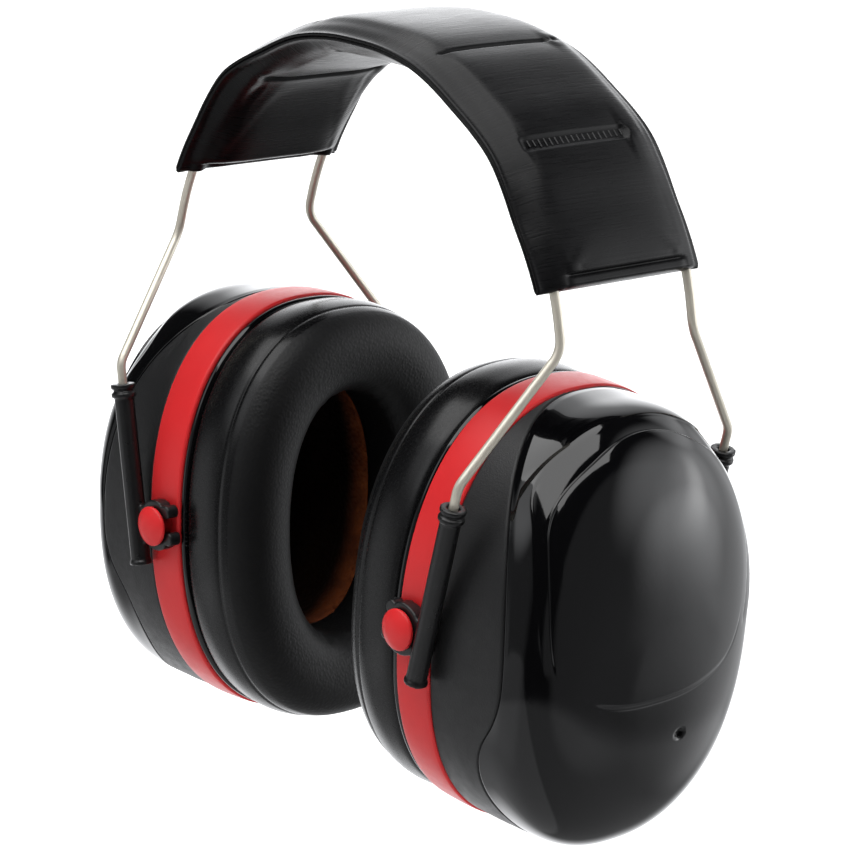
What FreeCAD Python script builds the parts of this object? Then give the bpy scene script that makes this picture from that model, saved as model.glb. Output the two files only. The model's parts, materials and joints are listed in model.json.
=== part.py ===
import FreeCAD, Part
import math
import os
import Sketcher

# Earmuff hearing protector, in millimetres.
# +Z is up, X runs from ear to ear with the left ear at +X, and the wearer faces -Y.
# The origin is the middle of the head, halfway between the two tilt axes of the cups.
# Each cup has its own frame: origin on its tilt axis, +X outboard, away from the head.

SIZES = (
    ("pivot_inset", 22.1, "each tilt axis inboard of the side of the head arch"),
    ("toe_in_angle", 3.0, "lean of each cup, bottom nearer the head, degrees"),
    ("fit_gap", 0.1, "clearance of pieces that are pushed together"),
    # outline of the cup, an oval of four arcs
    ("cup_half_width", 38.0, "half of the cup from front to rear"),
    ("cup_half_height", 50.0, "half of the cup from top to bottom"),
    ("end_drop", 2.0, "half width less the radius of the oval's ends"),
    # red band round the cup
    ("ring_width", 10.5, "width of the band"),
    ("ring_inboard", 4.6, "part of that width inboard of the tilt axis"),
    ("ring_wall", 3.0, "thickness of the band"),
    # outer casing, its sections measured outboard from the band
    ("shell_inset", 0.4, "step from the band down to the casing"),
    ("shell_wall", 2.6, "thickness of the casing"),
    ("waist_reach", 15.0, "section where the sides are still full"),
    ("waist_side_drop", 0.8, "narrowing there"),
    ("waist_top_drop", 1.0, "fall of the top there"),
    ("waist_bottom_drop", 0.3, "rise of the bottom there"),
    ("shoulder_reach", 23.5, "section where the top falls away"),
    ("shoulder_side_drop", 2.2, "narrowing there"),
    ("shoulder_top_drop", 7.8, "fall of the top there"),
    ("shoulder_bottom_drop", 2.0, "rise of the bottom there"),
    ("brow_reach", 29.0, "section where the face begins"),
    ("brow_side_drop", 10.5, "narrowing there"),
    ("brow_top_drop", 22.0, "fall of the top there"),
    ("brow_bottom_drop", 11.5, "rise of the bottom there"),
    ("face_reach", 31.2, "flat middle of the face"),
    ("face_side_drop", 23.5, "narrowing there"),
    ("face_top_drop", 42.0, "fall of the top there"),
    ("face_bottom_drop", 25.0, "rise of the bottom there"),
    ("spigot_wall", 2.0, "lip of the casing inside the band"),
    ("spigot_length", 3.0, "depth of that lip in the band"),
    # joint line between the matt shell and the gloss cap
    ("parting_peak_reach", 20.9, "joint line furthest outboard"),
    ("parting_peak_drop", 5.0, "depth of that point below the tilt axis"),
    ("parting_notch_reach", 12.3, "joint line furthest inboard, low down"),
    ("parting_notch_drop", 31.0, "depth of that point below the tilt axis"),
    ("parting_foot_drop", 43.0, "where the line runs out straight"),
    ("parting_radius", 96.0, "radius of its long upper curve"),
    ("dimple_radius", 1.15, "small drain hole low on the cap"),
    ("dimple_offset", 9.5, "that hole's distance behind the middle"),
    ("dimple_drop", 21.6, "that hole's depth below the tilt axis"),
    # inner casing, liner and the foam between the casings
    ("bowl_inset", 6.0, "outline of the inner casing inside the cup's"),
    ("bowl_wall", 2.0, "thickness of the inner casing"),
    ("bowl_depth", 29.5, "depth of the inner casing"),
    ("bowl_edge_radius", 9.0, "rounding of its closed end"),
    ("flange_thickness", 2.0, "rim that holds it inside the band"),
    ("liner_wall", 8.0, "thickness of the foam liner"),
    ("liner_edge_radius", 6.0, "rounding at the bottom of the liner's hollow"),
    ("casing_foam_half_width", 20.0, "half of the foam between the casings"),
    ("casing_foam_half_height", 26.0, "half of its height"),
    ("casing_foam_thickness", 4.0, "its thickness"),
    # seal plate and cushion, the cushion measured inboard from the plate
    ("plate_thickness", 2.0, "thickness of the seal plate"),
    ("plate_inset", 0.5, "outline of the plate inside the cup's"),
    ("plate_margin", 2.0, "plate's opening beyond the cushion's"),
    ("cushion_ring", 20.0, "width of the cushion from rim to opening"),
    ("cushion_root_inset", 1.2, "outline where it leaves the plate"),
    ("cushion_bulge_reach", 6.5, "widest part of its side"),
    ("cushion_bulge_inset", 0.1, "outline there"),
    ("cushion_seam_reach", 12.0, "welded seam"),
    ("cushion_seam_inset", 0.9, "outline there"),
    ("cushion_front_reach", 16.5, "rounded front shoulder"),
    ("cushion_front_inset", 4.0, "outline there"),
    ("cushion_crown_reach", 19.0, "flat front that meets the head"),
    ("cushion_crown_inset", 8.4, "outer edge of that flat"),
    ("cushion_crown_width", 4.4, "width of that flat"),
    ("cushion_lip_reach", 16.5, "rounded lip of the opening"),
    ("cushion_lip_rise", 2.4, "how far that lip stands back from the opening"),
    ("cushion_throat_reach", 12.0, "where the opening's wall is straight"),
    ("skin", 1.0, "thickness of the cushion's cover"),
    # arms
    ("tube_lean_angle", 12.1, "lean of the arm's tube, top outboard, degrees"),
    ("tube_gap", 0.5, "tube's clearance in front of and behind the cup"),
    ("tube_head_gap", 0.3, "tube's clearance to the stud's head"),
    ("tube_radius", 2.3, "outside of the tube"),
    ("tube_top", 32.9, "top of the tube above the tilt axis"),
    ("tube_bottom", 9.5, "foot of the tube below the tilt axis"),
    ("tube_floor", 1.5, "closed foot of the tube"),
    ("bore_gap", 0.08, "running clearance of the wire in the tube"),
    ("collar_radius", 2.9, "beads at the mouth of the tube"),
    ("collar_bead", 1.1, "width of each bead"),
    ("collar_groove", 0.9, "groove between the beads"),
    ("foot_radius", 2.65, "bead at the foot of the tube"),
    ("foot_bead", 0.9, "width of that bead"),
    ("clip_gap", 0.3, "clip's side to the band, and to the stud's head"),
    ("clip_thickness", 3.0, "thickness of the clip"),
    ("clip_radius", 5.9, "outside of the clip's eye"),
    ("clip_web_half", 4.4, "half height of the web that joins the eye to the tube"),
    ("clip_web_root", 0.8, "depth of that web in the tube's wall"),
    ("clip_mouth_half", 2.1, "half of the snap-on mouth"),
    ("lobe_radius", 2.0, "rounded ends of the clip's jaws"),
    ("lobe_offset", 5.2, "their distance inboard of the eye's centre"),
    ("lobe_rise", 3.9, "their height above and below it"),
    # studs
    ("stud_radius", 2.5, "shaft that the clip turns on"),
    ("stud_gap", 0.06, "running clearance of the clip on that shaft"),
    ("stud_seat_gap", 0.02, "clearance of that shaft in the band"),
    ("stud_setback", 0.5, "shaft's end short of the band's inner face"),
    ("head_radius", 4.6, "button head"),
    ("head_edge", 0.9, "straight edge of the head"),
    ("head_dome", 1.4, "rise of its dome"),
    # head wires
    ("wire_radius", 1.05, "spring wire"),
    ("wire_side", 19.7, "wire in front of or behind the middle, in the band"),
    ("arch_radius", 65.0, "curve of the wires and the band over the head"),
    ("arch_height", 53.0, "centre of that curve above the tilt axes"),
    ("arch_end_angle", 12.0, "end of the curved wire above the level, degrees"),
    ("arch_tail", 3.6, "straight run to the upper bend"),
    ("upper_bend_radius", 7.0, "upper bend"),
    ("lower_bend_radius", 5.0, "lower bend"),
    ("lower_bend_rise", 4.9, "corner of the lower bend above the tube's mouth"),
    ("wire_end_gap", 5.0, "wire's end above the foot of the tube"),
    # padded band
    ("band_half_angle", 70.3, "band's end from the top of the head, degrees"),
    ("foam_half_angle", 67.5, "same for its foam"),
    ("band_half_width", 24.5, "half of the band from front to rear"),
    ("ply", 1.0, "thickness of each cover"),
    ("rim_width", 2.6, "flat welded rim"),
    ("channel_rise", 1.25, "room for the wire above and below the weld"),
    ("channel_half", 1.4, "half of the wire's channel"),
    ("channel_slope", 0.5, "slope between the rim and the channel"),
    ("pad_half_width", 13.0, "half of the flat of the pad"),
    ("pad_rise", 3.4, "foam above the weld"),
    ("pad_sink", 5.0, "foam below the weld, towards the head"),
)

doc = FreeCAD.newDocument("earmuff")
sheet = doc.addObject("Spreadsheet::Sheet", "Sizes")
for row, (alias, number, meaning) in enumerate(SIZES, start=1):
    sheet.set("A%d" % row, meaning)
    sheet.set("B%d" % row, str(number))
    sheet.setAlias("B%d" % row, alias)
doc.recompute()


class Size:
    """A length that knows its number and the sheet expression it comes from."""

    def __init__(self, number, text):
        self.number = number
        self.text = text

    def join(self, other, sign, number):
        return Size(number, "(%s %s %s)" % (self.text, sign, other.text))

    def __add__(self, other):
        return self.join(other, "+", self.number + other.number)

    def __sub__(self, other):
        return self.join(other, "-", self.number - other.number)

    def __mul__(self, other):
        return self.join(other, "*", self.number * other.number)

    def __truediv__(self, other):
        return self.join(other, "/", self.number / other.number)

    def __neg__(self):
        return Size(-self.number, "(0 - %s)" % self.text)


def size(alias):
    return Size(float(sheet.get(alias)), "Sizes." + alias)


def plain(number):
    return Size(float(number), "%g" % number)


NOTHING = plain(0)
TWO = plain(2)
FOUR = plain(4)

# Planes across the cup, as distances from the tilt axis, outboard positive.
RIM = size("ring_width") - size("ring_inboard")
RING_INNER = -size("ring_inboard")
CUSHION_BACK = RING_INNER - size("plate_thickness")
BOWL_END = RING_INNER + size("bowl_depth")

# Middle of the head to each tilt axis.
PIVOT_REACH = size("arch_radius") - size("pivot_inset")

# Distances of the clip, the stud's head and the tube's axis from the middle of the cup,
# front or rear.
CLIP_SIDE = size("cup_half_width") + size("clip_gap")
HEAD_SIDE = CLIP_SIDE + size("clip_thickness") + size("clip_gap")
TUBE_SIDE = size("cup_half_width") + size("tube_gap") + size("tube_radius")

# Axis of the arm's tube outboard of the tilt axis.
TUBE_OFFSET = size("head_radius") + size("tube_head_gap") + size("tube_radius")


# ---------------------------------------------------------------- sketches and features

def new_body(label):
    body = doc.addObject("PartDesign::Body", label)
    body.Label = label
    return body


def origin_plane(body, role):
    return next(item for item in body.Origin.OriginFeatures if item.Role == role)


def new_sketch(body, role, across=NOTHING, along=NOTHING, out=NOTHING):
    """Empty sketch on an origin plane, moved within the plane and out of it."""
    sketch = body.newObject("Sketcher::SketchObject", "outline")
    sketch.AttachmentSupport = (origin_plane(body, role), [""])
    sketch.MapMode = "FlatFace"
    sketch.AttachmentOffset = FreeCAD.Placement(
        FreeCAD.Vector(across.number, along.number, out.number), FreeCAD.Rotation())
    sketch.setExpression("AttachmentOffset.Base.x", across.text)
    sketch.setExpression("AttachmentOffset.Base.y", along.text)
    sketch.setExpression("AttachmentOffset.Base.z", out.text)
    return sketch


def hold(sketch, kind, *where_and_size):
    """Add a dimension to a sketch and bind it to the sheet."""
    *where, length = where_and_size
    index = sketch.addConstraint(Sketcher.Constraint(kind, *where, length.number))
    sketch.setExpression("Constraints[%d]" % index, length.text)


def hold_point(sketch, curve, end, across, along):
    """Fix one end of a curve at (across, along) from the sketch's origin."""
    for kind, axis, length in (("DistanceX", -2, across), ("DistanceY", -1, along)):
        if length.number > 0:
            hold(sketch, kind, -1, 1, curve, end, length)
        elif length.number < 0:
            hold(sketch, kind, curve, end, -1, 1, -length)
        else:
            sketch.addConstraint(Sketcher.Constraint("PointOnObject", curve, end, axis))


def draw_polygon(sketch, points):
    """Closed outline through points of Size pairs, every corner dimensioned."""
    corners = [FreeCAD.Vector(across.number, along.number, 0) for across, along in points]
    for start, end in zip(corners, corners[1:] + corners[:1]):
        sketch.addGeometry(Part.LineSegment(start, end))
    for curve in range(len(points)):
        following = (curve + 1) % len(points)
        sketch.addConstraint(Sketcher.Constraint("Coincident", curve, 2, following, 1))
    for curve, (across, along) in enumerate(points):
        hold_point(sketch, curve, 1, across, along)
    return sketch


def draw_circle(sketch, across, along, radius):
    centre = FreeCAD.Vector(across.number, along.number, 0)
    circle = sketch.addGeometry(Part.Circle(centre, FreeCAD.Vector(0, 0, 1), radius.number))
    hold_point(sketch, circle, 3, across, along)
    hold(sketch, "Radius", circle, radius)
    return sketch


def draw_oval(sketch, half_width, half_height):
    """Upright oval of two flat side arcs and two rounder end arcs, tangent all round."""
    end_radius = half_width - size("end_drop")
    rise = half_height - end_radius
    side_radius = (half_width * half_width + rise * rise
                   - end_radius * end_radius) / (TWO * size("end_drop"))
    side_offset = side_radius - half_width
    turn = math.atan2(rise.number, side_offset.number)
    right, top, left, bottom = 0, 1, 2, 3
    for x, y, radius, first, last in (
            (-side_offset.number, 0, side_radius.number, -turn, turn),
            (0, rise.number, end_radius.number, turn, math.pi - turn),
            (side_offset.number, 0, side_radius.number, math.pi - turn, math.pi + turn),
            (0, -rise.number, end_radius.number, math.pi + turn, 2 * math.pi - turn)):
        circle = Part.Circle(FreeCAD.Vector(x, y, 0), FreeCAD.Vector(0, 0, 1), radius)
        sketch.addGeometry(Part.ArcOfCircle(circle, first, last))
    for curve in (right, top, left, bottom):
        following = (curve + 1) % 4
        sketch.addConstraint(Sketcher.Constraint("Tangent", curve, 2, following, 1))
    for curve, axis in ((right, -1), (top, -2), (bottom, -2)):
        sketch.addConstraint(Sketcher.Constraint("PointOnObject", curve, 3, axis))
    hold(sketch, "DistanceX", right, 3, -1, 1, side_offset)
    hold(sketch, "DistanceX", -1, 1, left, 3, side_offset)
    hold(sketch, "DistanceY", -1, 1, top, 3, rise)
    hold(sketch, "DistanceY", bottom, 3, -1, 1, rise)
    hold(sketch, "Radius", top, end_radius)
    return sketch


def oval_at(body, reach, half_width, top, bottom):
    """Oval across the cup, with its own heights above and below the tilt axis."""
    sketch = new_sketch(body, "YZ_Plane", NOTHING, (top - bottom) / TWO, reach)
    return draw_oval(sketch, half_width, (top + bottom) / TWO)


def cup_oval(body, reach, inset):
    """The cup's own outline, drawn in by an inset."""
    half_height = size("cup_half_height") - inset
    return oval_at(body, reach, size("cup_half_width") - inset, half_height, half_height)


def feature(body, kind, profile, **settings):
    """Add one PartDesign feature, and see that it adds or removes material."""
    doc.recompute()
    before = body.Shape.Volume if body.Tip else 0
    item = body.newObject("PartDesign::" + kind, kind)
    item.Profile = profile
    for name, value in settings.items():
        if isinstance(value, Size):
            item.setExpression(name, value.text)
        else:
            setattr(item, name, value)
    doc.recompute()
    change = body.Shape.Volume - before
    gain = -change if kind in ("Pocket", "Groove", "SubtractiveLoft") else change
    if gain <= 0:
        raise RuntimeError("%s in %s changes nothing" % (kind, body.Label))
    return item


def edges_at(shape, reach):
    """Names of a shape's edges that lie in the plane across X at this reach."""
    names = []
    for number, edge in enumerate(shape.Edges, start=1):
        box = edge.BoundBox
        if max(abs(box.XMin - reach.number), abs(box.XMax - reach.number)) < 0.01:
            names.append("Edge%d" % number)
    return names


def round_edges(body, reach, radius):
    base = body.Tip
    fillet = body.newObject("PartDesign::Fillet", "Fillet")
    fillet.Base = (base, edges_at(base.Shape, reach))
    fillet.setExpression("Radius", radius.text)
    doc.recompute()


def loft(body, kind, sections):
    feature(body, kind, sections[0], Sections=sections[1:], Ruled=False)


# ---------------------------------------------------------------- outer casing

def casing_sections(body, inset):
    """Ovals from the band to the face, drawn in by an inset on every side."""
    side = size("cup_half_width") - size("shell_inset") - inset
    height = size("cup_half_height") - size("shell_inset") - inset
    sections = [oval_at(body, RIM, side, height, height)]
    for name in ("waist", "shoulder", "brow", "face"):
        sections.append(oval_at(
            body,
            RIM + size(name + "_reach") - inset,
            side - size(name + "_side_drop"),
            height - size(name + "_top_drop"),
            height - size(name + "_bottom_drop")))
    return sections


def draw_parting(sketch, far_side):
    """Region on one side of the joint line between the matt shell and the gloss cap.

    The line comes down from the top in a long arc, turns back inboard in an S below
    the tilt axis and runs out straight at the bottom. far_side is the region's other edge.
    """
    peak_x = RIM + size("parting_peak_reach")
    peak_z = size("parting_peak_drop")
    notch_z = size("parting_notch_drop")
    swing = size("parting_peak_reach") - size("parting_notch_reach")
    drop = notch_z - peak_z
    bend = (swing * swing + drop * drop) / (FOUR * swing)
    long_radius = size("parting_radius")
    limit = size("cup_half_height") + size("ring_wall")
    cross = math.atan2(drop.number, 2 * bend.number - swing.number)
    foot = math.asin((size("parting_foot_drop") - notch_z).number / bend.number)
    top = math.asin((limit + peak_z).number / long_radius.number)
    normal = FreeCAD.Vector(0, 0, 1)
    notch_x = peak_x.number - swing.number
    upper = Part.ArcOfCircle(Part.Circle(
        FreeCAD.Vector(peak_x.number - long_radius.number, -peak_z.number, 0),
        normal, long_radius.number), 0, top)
    middle = Part.ArcOfCircle(Part.Circle(
        FreeCAD.Vector(peak_x.number - bend.number, -peak_z.number, 0),
        normal, bend.number), -cross, 0)
    lower = Part.ArcOfCircle(Part.Circle(
        FreeCAD.Vector(notch_x + bend.number, -notch_z.number, 0),
        normal, bend.number), math.pi - cross, math.pi + foot)
    foot_point = lower.EndPoint
    run = (limit.number + foot_point.y) * math.tan(foot)
    low_end = FreeCAD.Vector(foot_point.x + run, -limit.number, 0)
    low_corner = FreeCAD.Vector(far_side.number, -limit.number, 0)
    high_corner = FreeCAD.Vector(far_side.number, limit.number, 0)
    for curve in (upper, middle, lower,
                  Part.LineSegment(foot_point, low_end),
                  Part.LineSegment(low_end, low_corner),
                  Part.LineSegment(low_corner, high_corner),
                  Part.LineSegment(high_corner, upper.EndPoint)):
        sketch.addGeometry(curve)
    upper, middle, lower, tail, low, far, high = range(7)
    for first, first_end, second, second_end in (
            (upper, 1, middle, 2), (middle, 1, lower, 1), (lower, 2, tail, 1)):
        sketch.addConstraint(
            Sketcher.Constraint("Tangent", first, first_end, second, second_end))
    for first, second, second_end in (
            (tail, low, 1), (low, far, 1), (far, high, 1), (high, upper, 2)):
        sketch.addConstraint(Sketcher.Constraint("Coincident", first, 2, second, second_end))
    sketch.addConstraint(Sketcher.Constraint("Horizontal", low))
    sketch.addConstraint(Sketcher.Constraint("Vertical", far))
    sketch.addConstraint(Sketcher.Constraint("Horizontal", high))
    hold_point(sketch, upper, 3, peak_x - long_radius, -peak_z)
    hold(sketch, "Radius", upper, long_radius)
    hold(sketch, "DistanceY", middle, 3, -1, 1, peak_z)
    hold(sketch, "Radius", middle, bend)
    hold(sketch, "DistanceY", lower, 3, -1, 1, notch_z)
    hold(sketch, "Radius", lower, bend)
    hold(sketch, "DistanceY", lower, 2, -1, 1, size("parting_foot_drop"))
    hold(sketch, "DistanceY", tail, 2, -1, 1, limit)
    hold_point(sketch, high, 1, far_side, limit)
    return sketch


def cut_parting(body, far_side):
    sketch = draw_parting(new_sketch(body, "XZ_Plane"), far_side)
    feature(body, "Pocket", sketch, Length=FOUR * size("cup_half_width"), SideType="Symmetric")


def build_casing(body):
    loft(body, "AdditiveLoft", casing_sections(body, NOTHING))
    loft(body, "SubtractiveLoft", casing_sections(body, size("shell_wall")))


def build_mid_shell(body):
    """Matt shell next to the band, with the lip that locates it in the band."""
    build_casing(body)
    cut_parting(body, RIM + size("face_reach") + size("shell_wall"))
    lip = size("ring_wall") + size("fit_gap")
    lip_start = RIM - size("spigot_length")
    lip_length = size("spigot_length") + size("spigot_length")
    feature(body, "Pad", cup_oval(body, lip_start, lip), Length=lip_length)
    inside = cup_oval(body, lip_start, lip + size("spigot_wall"))
    feature(body, "Pocket", inside, Length=lip_length, Reversed=True)


def build_outer_cap(body):
    """Gloss cap over the face, with its small drain hole."""
    build_casing(body)
    cut_parting(body, RING_INNER)
    sketch = new_sketch(body, "YZ_Plane")
    draw_circle(sketch, size("dimple_offset"), -size("dimple_drop"), size("dimple_radius"))
    feature(body, "Pocket", sketch, Length=RIM + TWO * size("face_reach"), Reversed=True)


def build_trim_ring(body):
    """Red band round the cup, bored front and rear for the two studs."""
    feature(body, "Pad", cup_oval(body, RING_INNER, NOTHING), Length=size("ring_width"))
    inside = cup_oval(body, RING_INNER, size("ring_wall"))
    feature(body, "Pocket", inside, Length=size("ring_width"), Reversed=True)
    bore = new_sketch(body, "XZ_Plane")
    draw_circle(bore, NOTHING, NOTHING, size("stud_radius") + size("stud_seat_gap"))
    feature(body, "Pocket", bore, Length=FOUR * size("cup_half_width"), SideType="Symmetric")


# ---------------------------------------------------------------- inside the cup

def build_inner_cup(body):
    """Second casing, a bowl held inside the band by its flange."""
    flange = size("ring_wall") + size("fit_gap")
    wall = size("bowl_inset") + size("bowl_wall")
    feature(body, "Pad", cup_oval(body, RING_INNER, size("bowl_inset")), Length=size("bowl_depth"))
    feature(body, "Pad", cup_oval(body, RING_INNER, flange), Length=size("flange_thickness"))
    hollow = cup_oval(body, RING_INNER, wall)
    feature(body, "Pocket", hollow, Length=size("bowl_depth") - size("bowl_wall"), Reversed=True)
    round_edges(body, BOWL_END - size("bowl_wall"), size("bowl_edge_radius") - size("bowl_wall"))
    round_edges(body, BOWL_END, size("bowl_edge_radius"))


def build_foam_liner(body):
    """Foam bowl in the inner casing, open towards the ear."""
    inset = size("bowl_inset") + size("bowl_wall") + size("fit_gap")
    length = size("bowl_depth") - size("bowl_wall")
    feature(body, "Pad", cup_oval(body, RING_INNER, inset), Length=length)
    round_edges(body, RING_INNER + length, size("bowl_edge_radius"))
    hollow = cup_oval(body, RING_INNER, inset + size("liner_wall"))
    depth = length - size("liner_wall")
    feature(body, "Pocket", hollow, Length=depth, Reversed=True)
    round_edges(body, RING_INNER + depth, size("liner_edge_radius"))


def build_casing_foam(body):
    """Foam slab between the inner and the outer casing."""
    half_height = size("casing_foam_half_height")
    outline = oval_at(body, BOWL_END, size("casing_foam_half_width"), half_height, half_height)
    feature(body, "Pad", outline, Length=size("casing_foam_thickness"))


# ---------------------------------------------------------------- seal plate and cushion

def build_seal_plate(body):
    """Gloss plate that closes the cup round the ear and carries the cushion."""
    outline = cup_oval(body, CUSHION_BACK, size("plate_inset"))
    feature(body, "Pad", outline, Length=size("plate_thickness"))
    opening = cup_oval(body, CUSHION_BACK, size("cushion_ring") - size("plate_margin"))
    feature(body, "Pocket", opening, Length=size("plate_thickness"), Reversed=True)


def cushion_outside(body, skin):
    """Ovals of the cushion's outer side, from the plate to the front."""
    sections = [cup_oval(body, CUSHION_BACK, size("cushion_root_inset") + skin)]
    for name in ("bulge", "seam", "front"):
        sections.append(cup_oval(
            body,
            CUSHION_BACK - size("cushion_%s_reach" % name),
            size("cushion_%s_inset" % name) + skin))
    crown = CUSHION_BACK - size("cushion_crown_reach") + skin
    sections.append(cup_oval(body, crown, size("cushion_crown_inset") + skin))
    return sections


def cushion_opening(body, skin):
    """Ovals of the ear opening, from the plate to the front, widened by the skin."""
    wall = size("cushion_ring") - skin
    mouth = size("cushion_crown_inset") + size("cushion_crown_width") - skin
    return [
        cup_oval(body, CUSHION_BACK, wall),
        cup_oval(body, CUSHION_BACK - size("cushion_throat_reach"), wall),
        cup_oval(body, CUSHION_BACK - size("cushion_lip_reach"), wall - size("cushion_lip_rise")),
        cup_oval(body, CUSHION_BACK - size("cushion_crown_reach"), mouth),
    ]


def build_cushion_cover(body):
    """Skin of the cushion, open at the back against the seal plate."""
    loft(body, "AdditiveLoft", cushion_outside(body, NOTHING))
    loft(body, "SubtractiveLoft", cushion_outside(body, size("skin")))
    loft(body, "AdditiveLoft", cushion_opening(body, size("skin")))
    loft(body, "SubtractiveLoft", cushion_opening(body, NOTHING))


def build_cushion_foam(body):
    """Foam ring that fills the skin."""
    loft(body, "AdditiveLoft", cushion_outside(body, size("skin")))
    loft(body, "SubtractiveLoft", cushion_opening(body, size("skin")))


# ---------------------------------------------------------------- studs and arms

def build_stud(body):
    """Button-headed stud that the arm's clip turns on, along +Y of the cup."""
    start = size("cup_half_width") - size("ring_wall") + size("stud_setback")
    edge = HEAD_SIDE + size("head_edge")
    top = edge + size("head_dome")
    radius = size("head_radius")
    rise = size("head_dome").number
    dome_radius = (radius.number ** 2 + rise ** 2) / (2 * rise)
    sketch = new_sketch(body, "XY_Plane")
    corners = (
        (NOTHING, top),
        (NOTHING, start),
        (size("stud_radius"), start),
        (size("stud_radius"), HEAD_SIDE),
        (radius, HEAD_SIDE),
        (radius, edge),
    )
    points = [FreeCAD.Vector(across.number, along.number, 0) for across, along in corners]
    for first, last in zip(points, points[1:]):
        sketch.addGeometry(Part.LineSegment(first, last))
    centre = FreeCAD.Vector(0, top.number - dome_radius, 0)
    edge_angle = math.atan2(edge.number - centre.y, radius.number)
    circle = Part.Circle(centre, FreeCAD.Vector(0, 0, 1), dome_radius)
    dome = sketch.addGeometry(Part.ArcOfCircle(circle, edge_angle, math.pi / 2))
    for curve in range(dome - 1):
        sketch.addConstraint(Sketcher.Constraint("Coincident", curve, 2, curve + 1, 1))
    sketch.addConstraint(Sketcher.Constraint("Coincident", dome - 1, 2, dome, 1))
    sketch.addConstraint(Sketcher.Constraint("Coincident", dome, 2, 0, 1))
    sketch.addConstraint(Sketcher.Constraint("PointOnObject", dome, 3, -2))
    for curve, (across, along) in enumerate(corners[:-1]):
        hold_point(sketch, curve, 1, across, along)
    hold_point(sketch, dome - 1, 2, *corners[-1])
    feature(body, "Revolution", sketch, ReferenceAxis=(sketch, ["V_Axis"]), Angle=plain(360))


def tube_profile():
    """Half section of the arm's tube before it is bored: foot bead, plain tube, two beads."""
    foot = -size("tube_bottom")
    top = size("tube_top")
    foot_top = foot + size("foot_bead")
    upper_bead = top - size("collar_bead")
    lower_bead_top = upper_bead - size("collar_groove")
    lower_bead = lower_bead_top - size("collar_bead")
    outside = size("tube_radius")
    bead = size("collar_radius")
    return (
        (NOTHING, foot), (size("foot_radius"), foot), (size("foot_radius"), foot_top),
        (outside, foot_top), (outside, lower_bead), (bead, lower_bead),
        (bead, lower_bead_top), (outside, lower_bead_top), (outside, upper_bead),
        (bead, upper_bead), (bead, top), (NOTHING, top),
    )


def bore_profile():
    """Half section of the blind bore that the wire slides in."""
    bore = size("wire_radius") + size("bore_gap")
    floor = size("tube_floor") - size("tube_bottom")
    top = size("tube_top")
    return ((NOTHING, floor), (bore, floor), (bore, top), (NOTHING, top))


def build_arm(body, side):
    """Tube for the wire with a C-shaped clip for the stud. side is 1 behind, -1 in front.

    Z runs up along the tube. The clip's mouth opens inboard.
    """
    def turn(kind, profile):
        sketch = new_sketch(body, "XZ_Plane", TUBE_OFFSET, NOTHING, TUBE_SIDE * plain(-side))
        draw_polygon(sketch, profile)
        feature(body, kind, sketch, ReferenceAxis=(sketch, ["V_Axis"]), Angle=plain(360))

    turn("Revolution", tube_profile())
    middle = (CLIP_SIDE + size("clip_thickness") / TWO) * plain(-side)

    def clip_sketch():
        return new_sketch(body, "XZ_Plane", NOTHING, NOTHING, middle)

    def add(kind, sketch):
        feature(body, kind, sketch, Length=size("clip_thickness"), SideType="Symmetric")

    half = size("clip_web_half")
    root = TUBE_OFFSET - size("tube_radius") + size("clip_web_root")
    web = ((NOTHING, -half), (root, -half), (root, half), (NOTHING, half))
    add("Pad", draw_circle(clip_sketch(), NOTHING, NOTHING, size("clip_radius")))
    add("Pad", draw_polygon(clip_sketch(), web))
    for rise in (size("lobe_rise"), -size("lobe_rise")):
        lobe = draw_circle(clip_sketch(), -size("lobe_offset"), rise, size("lobe_radius"))
        add("Pad", lobe)
    bore = size("stud_radius") + size("stud_gap")
    add("Pocket", draw_circle(clip_sketch(), NOTHING, NOTHING, bore))
    gape = size("clip_mouth_half")
    end = -(size("lobe_offset") + size("lobe_radius"))
    mouth = ((end, -gape), (NOTHING, -gape), (NOTHING, gape), (end, gape))
    add("Pocket", draw_polygon(clip_sketch(), mouth))
    turn("Groove", bore_profile())


# ---------------------------------------------------------------- wires and band

def lean():
    return math.radians(size("tube_lean_angle").number)


def wire_corners(side):
    """Points of one wire's left leg: end of the arch, upper bend, lower bend, wire's end."""
    arch = size("arch_radius").number
    angle = math.radians(size("arch_end_angle").number)
    across = side * size("wire_side").number
    leave = FreeCAD.Vector(arch * math.cos(angle), across,
                           size("arch_height").number + arch * math.sin(angle))
    upper = leave + FreeCAD.Vector(math.sin(angle), 0, -math.cos(angle)) * size("arch_tail").number
    up = FreeCAD.Vector(math.sin(lean()), 0, math.cos(lean()))
    out = FreeCAD.Vector(math.cos(lean()), 0, -math.sin(lean()))
    axis = FreeCAD.Vector(PIVOT_REACH.number, side * TUBE_SIDE.number, 0)
    axis = axis + out * TUBE_OFFSET.number
    lower = axis + up * (size("tube_top") + size("lower_bend_rise")).number
    end = axis + up * (size("wire_end_gap") - size("tube_bottom")).number
    return leave, upper, lower, end


def rounded_run(points, radii):
    """Straight edges through the points with a tangent arc at each inner corner."""
    edges = []
    start = points[0]
    for before, corner, after, radius in zip(points, points[1:], points[2:], radii):
        coming = (corner - before).normalize()
        going = (after - corner).normalize()
        turn = coming.getAngle(going)
        setback = radius * math.tan(turn / 2)
        arc_start = corner - coming * setback
        arc_end = corner + going * setback
        inward = (going - coming).normalize()
        arc_middle = corner + inward * (radius / math.cos(turn / 2) - radius)
        edges.append(Part.makeLine(start, arc_start))
        edges.append(Part.Arc(arc_start, arc_middle, arc_end).toShape())
        start = arc_end
    edges.append(Part.makeLine(start, points[-1]))
    return edges


def mirror_left(shape):
    return shape.mirror(FreeCAD.Vector(0, 0, 0), FreeCAD.Vector(1, 0, 0))


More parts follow.
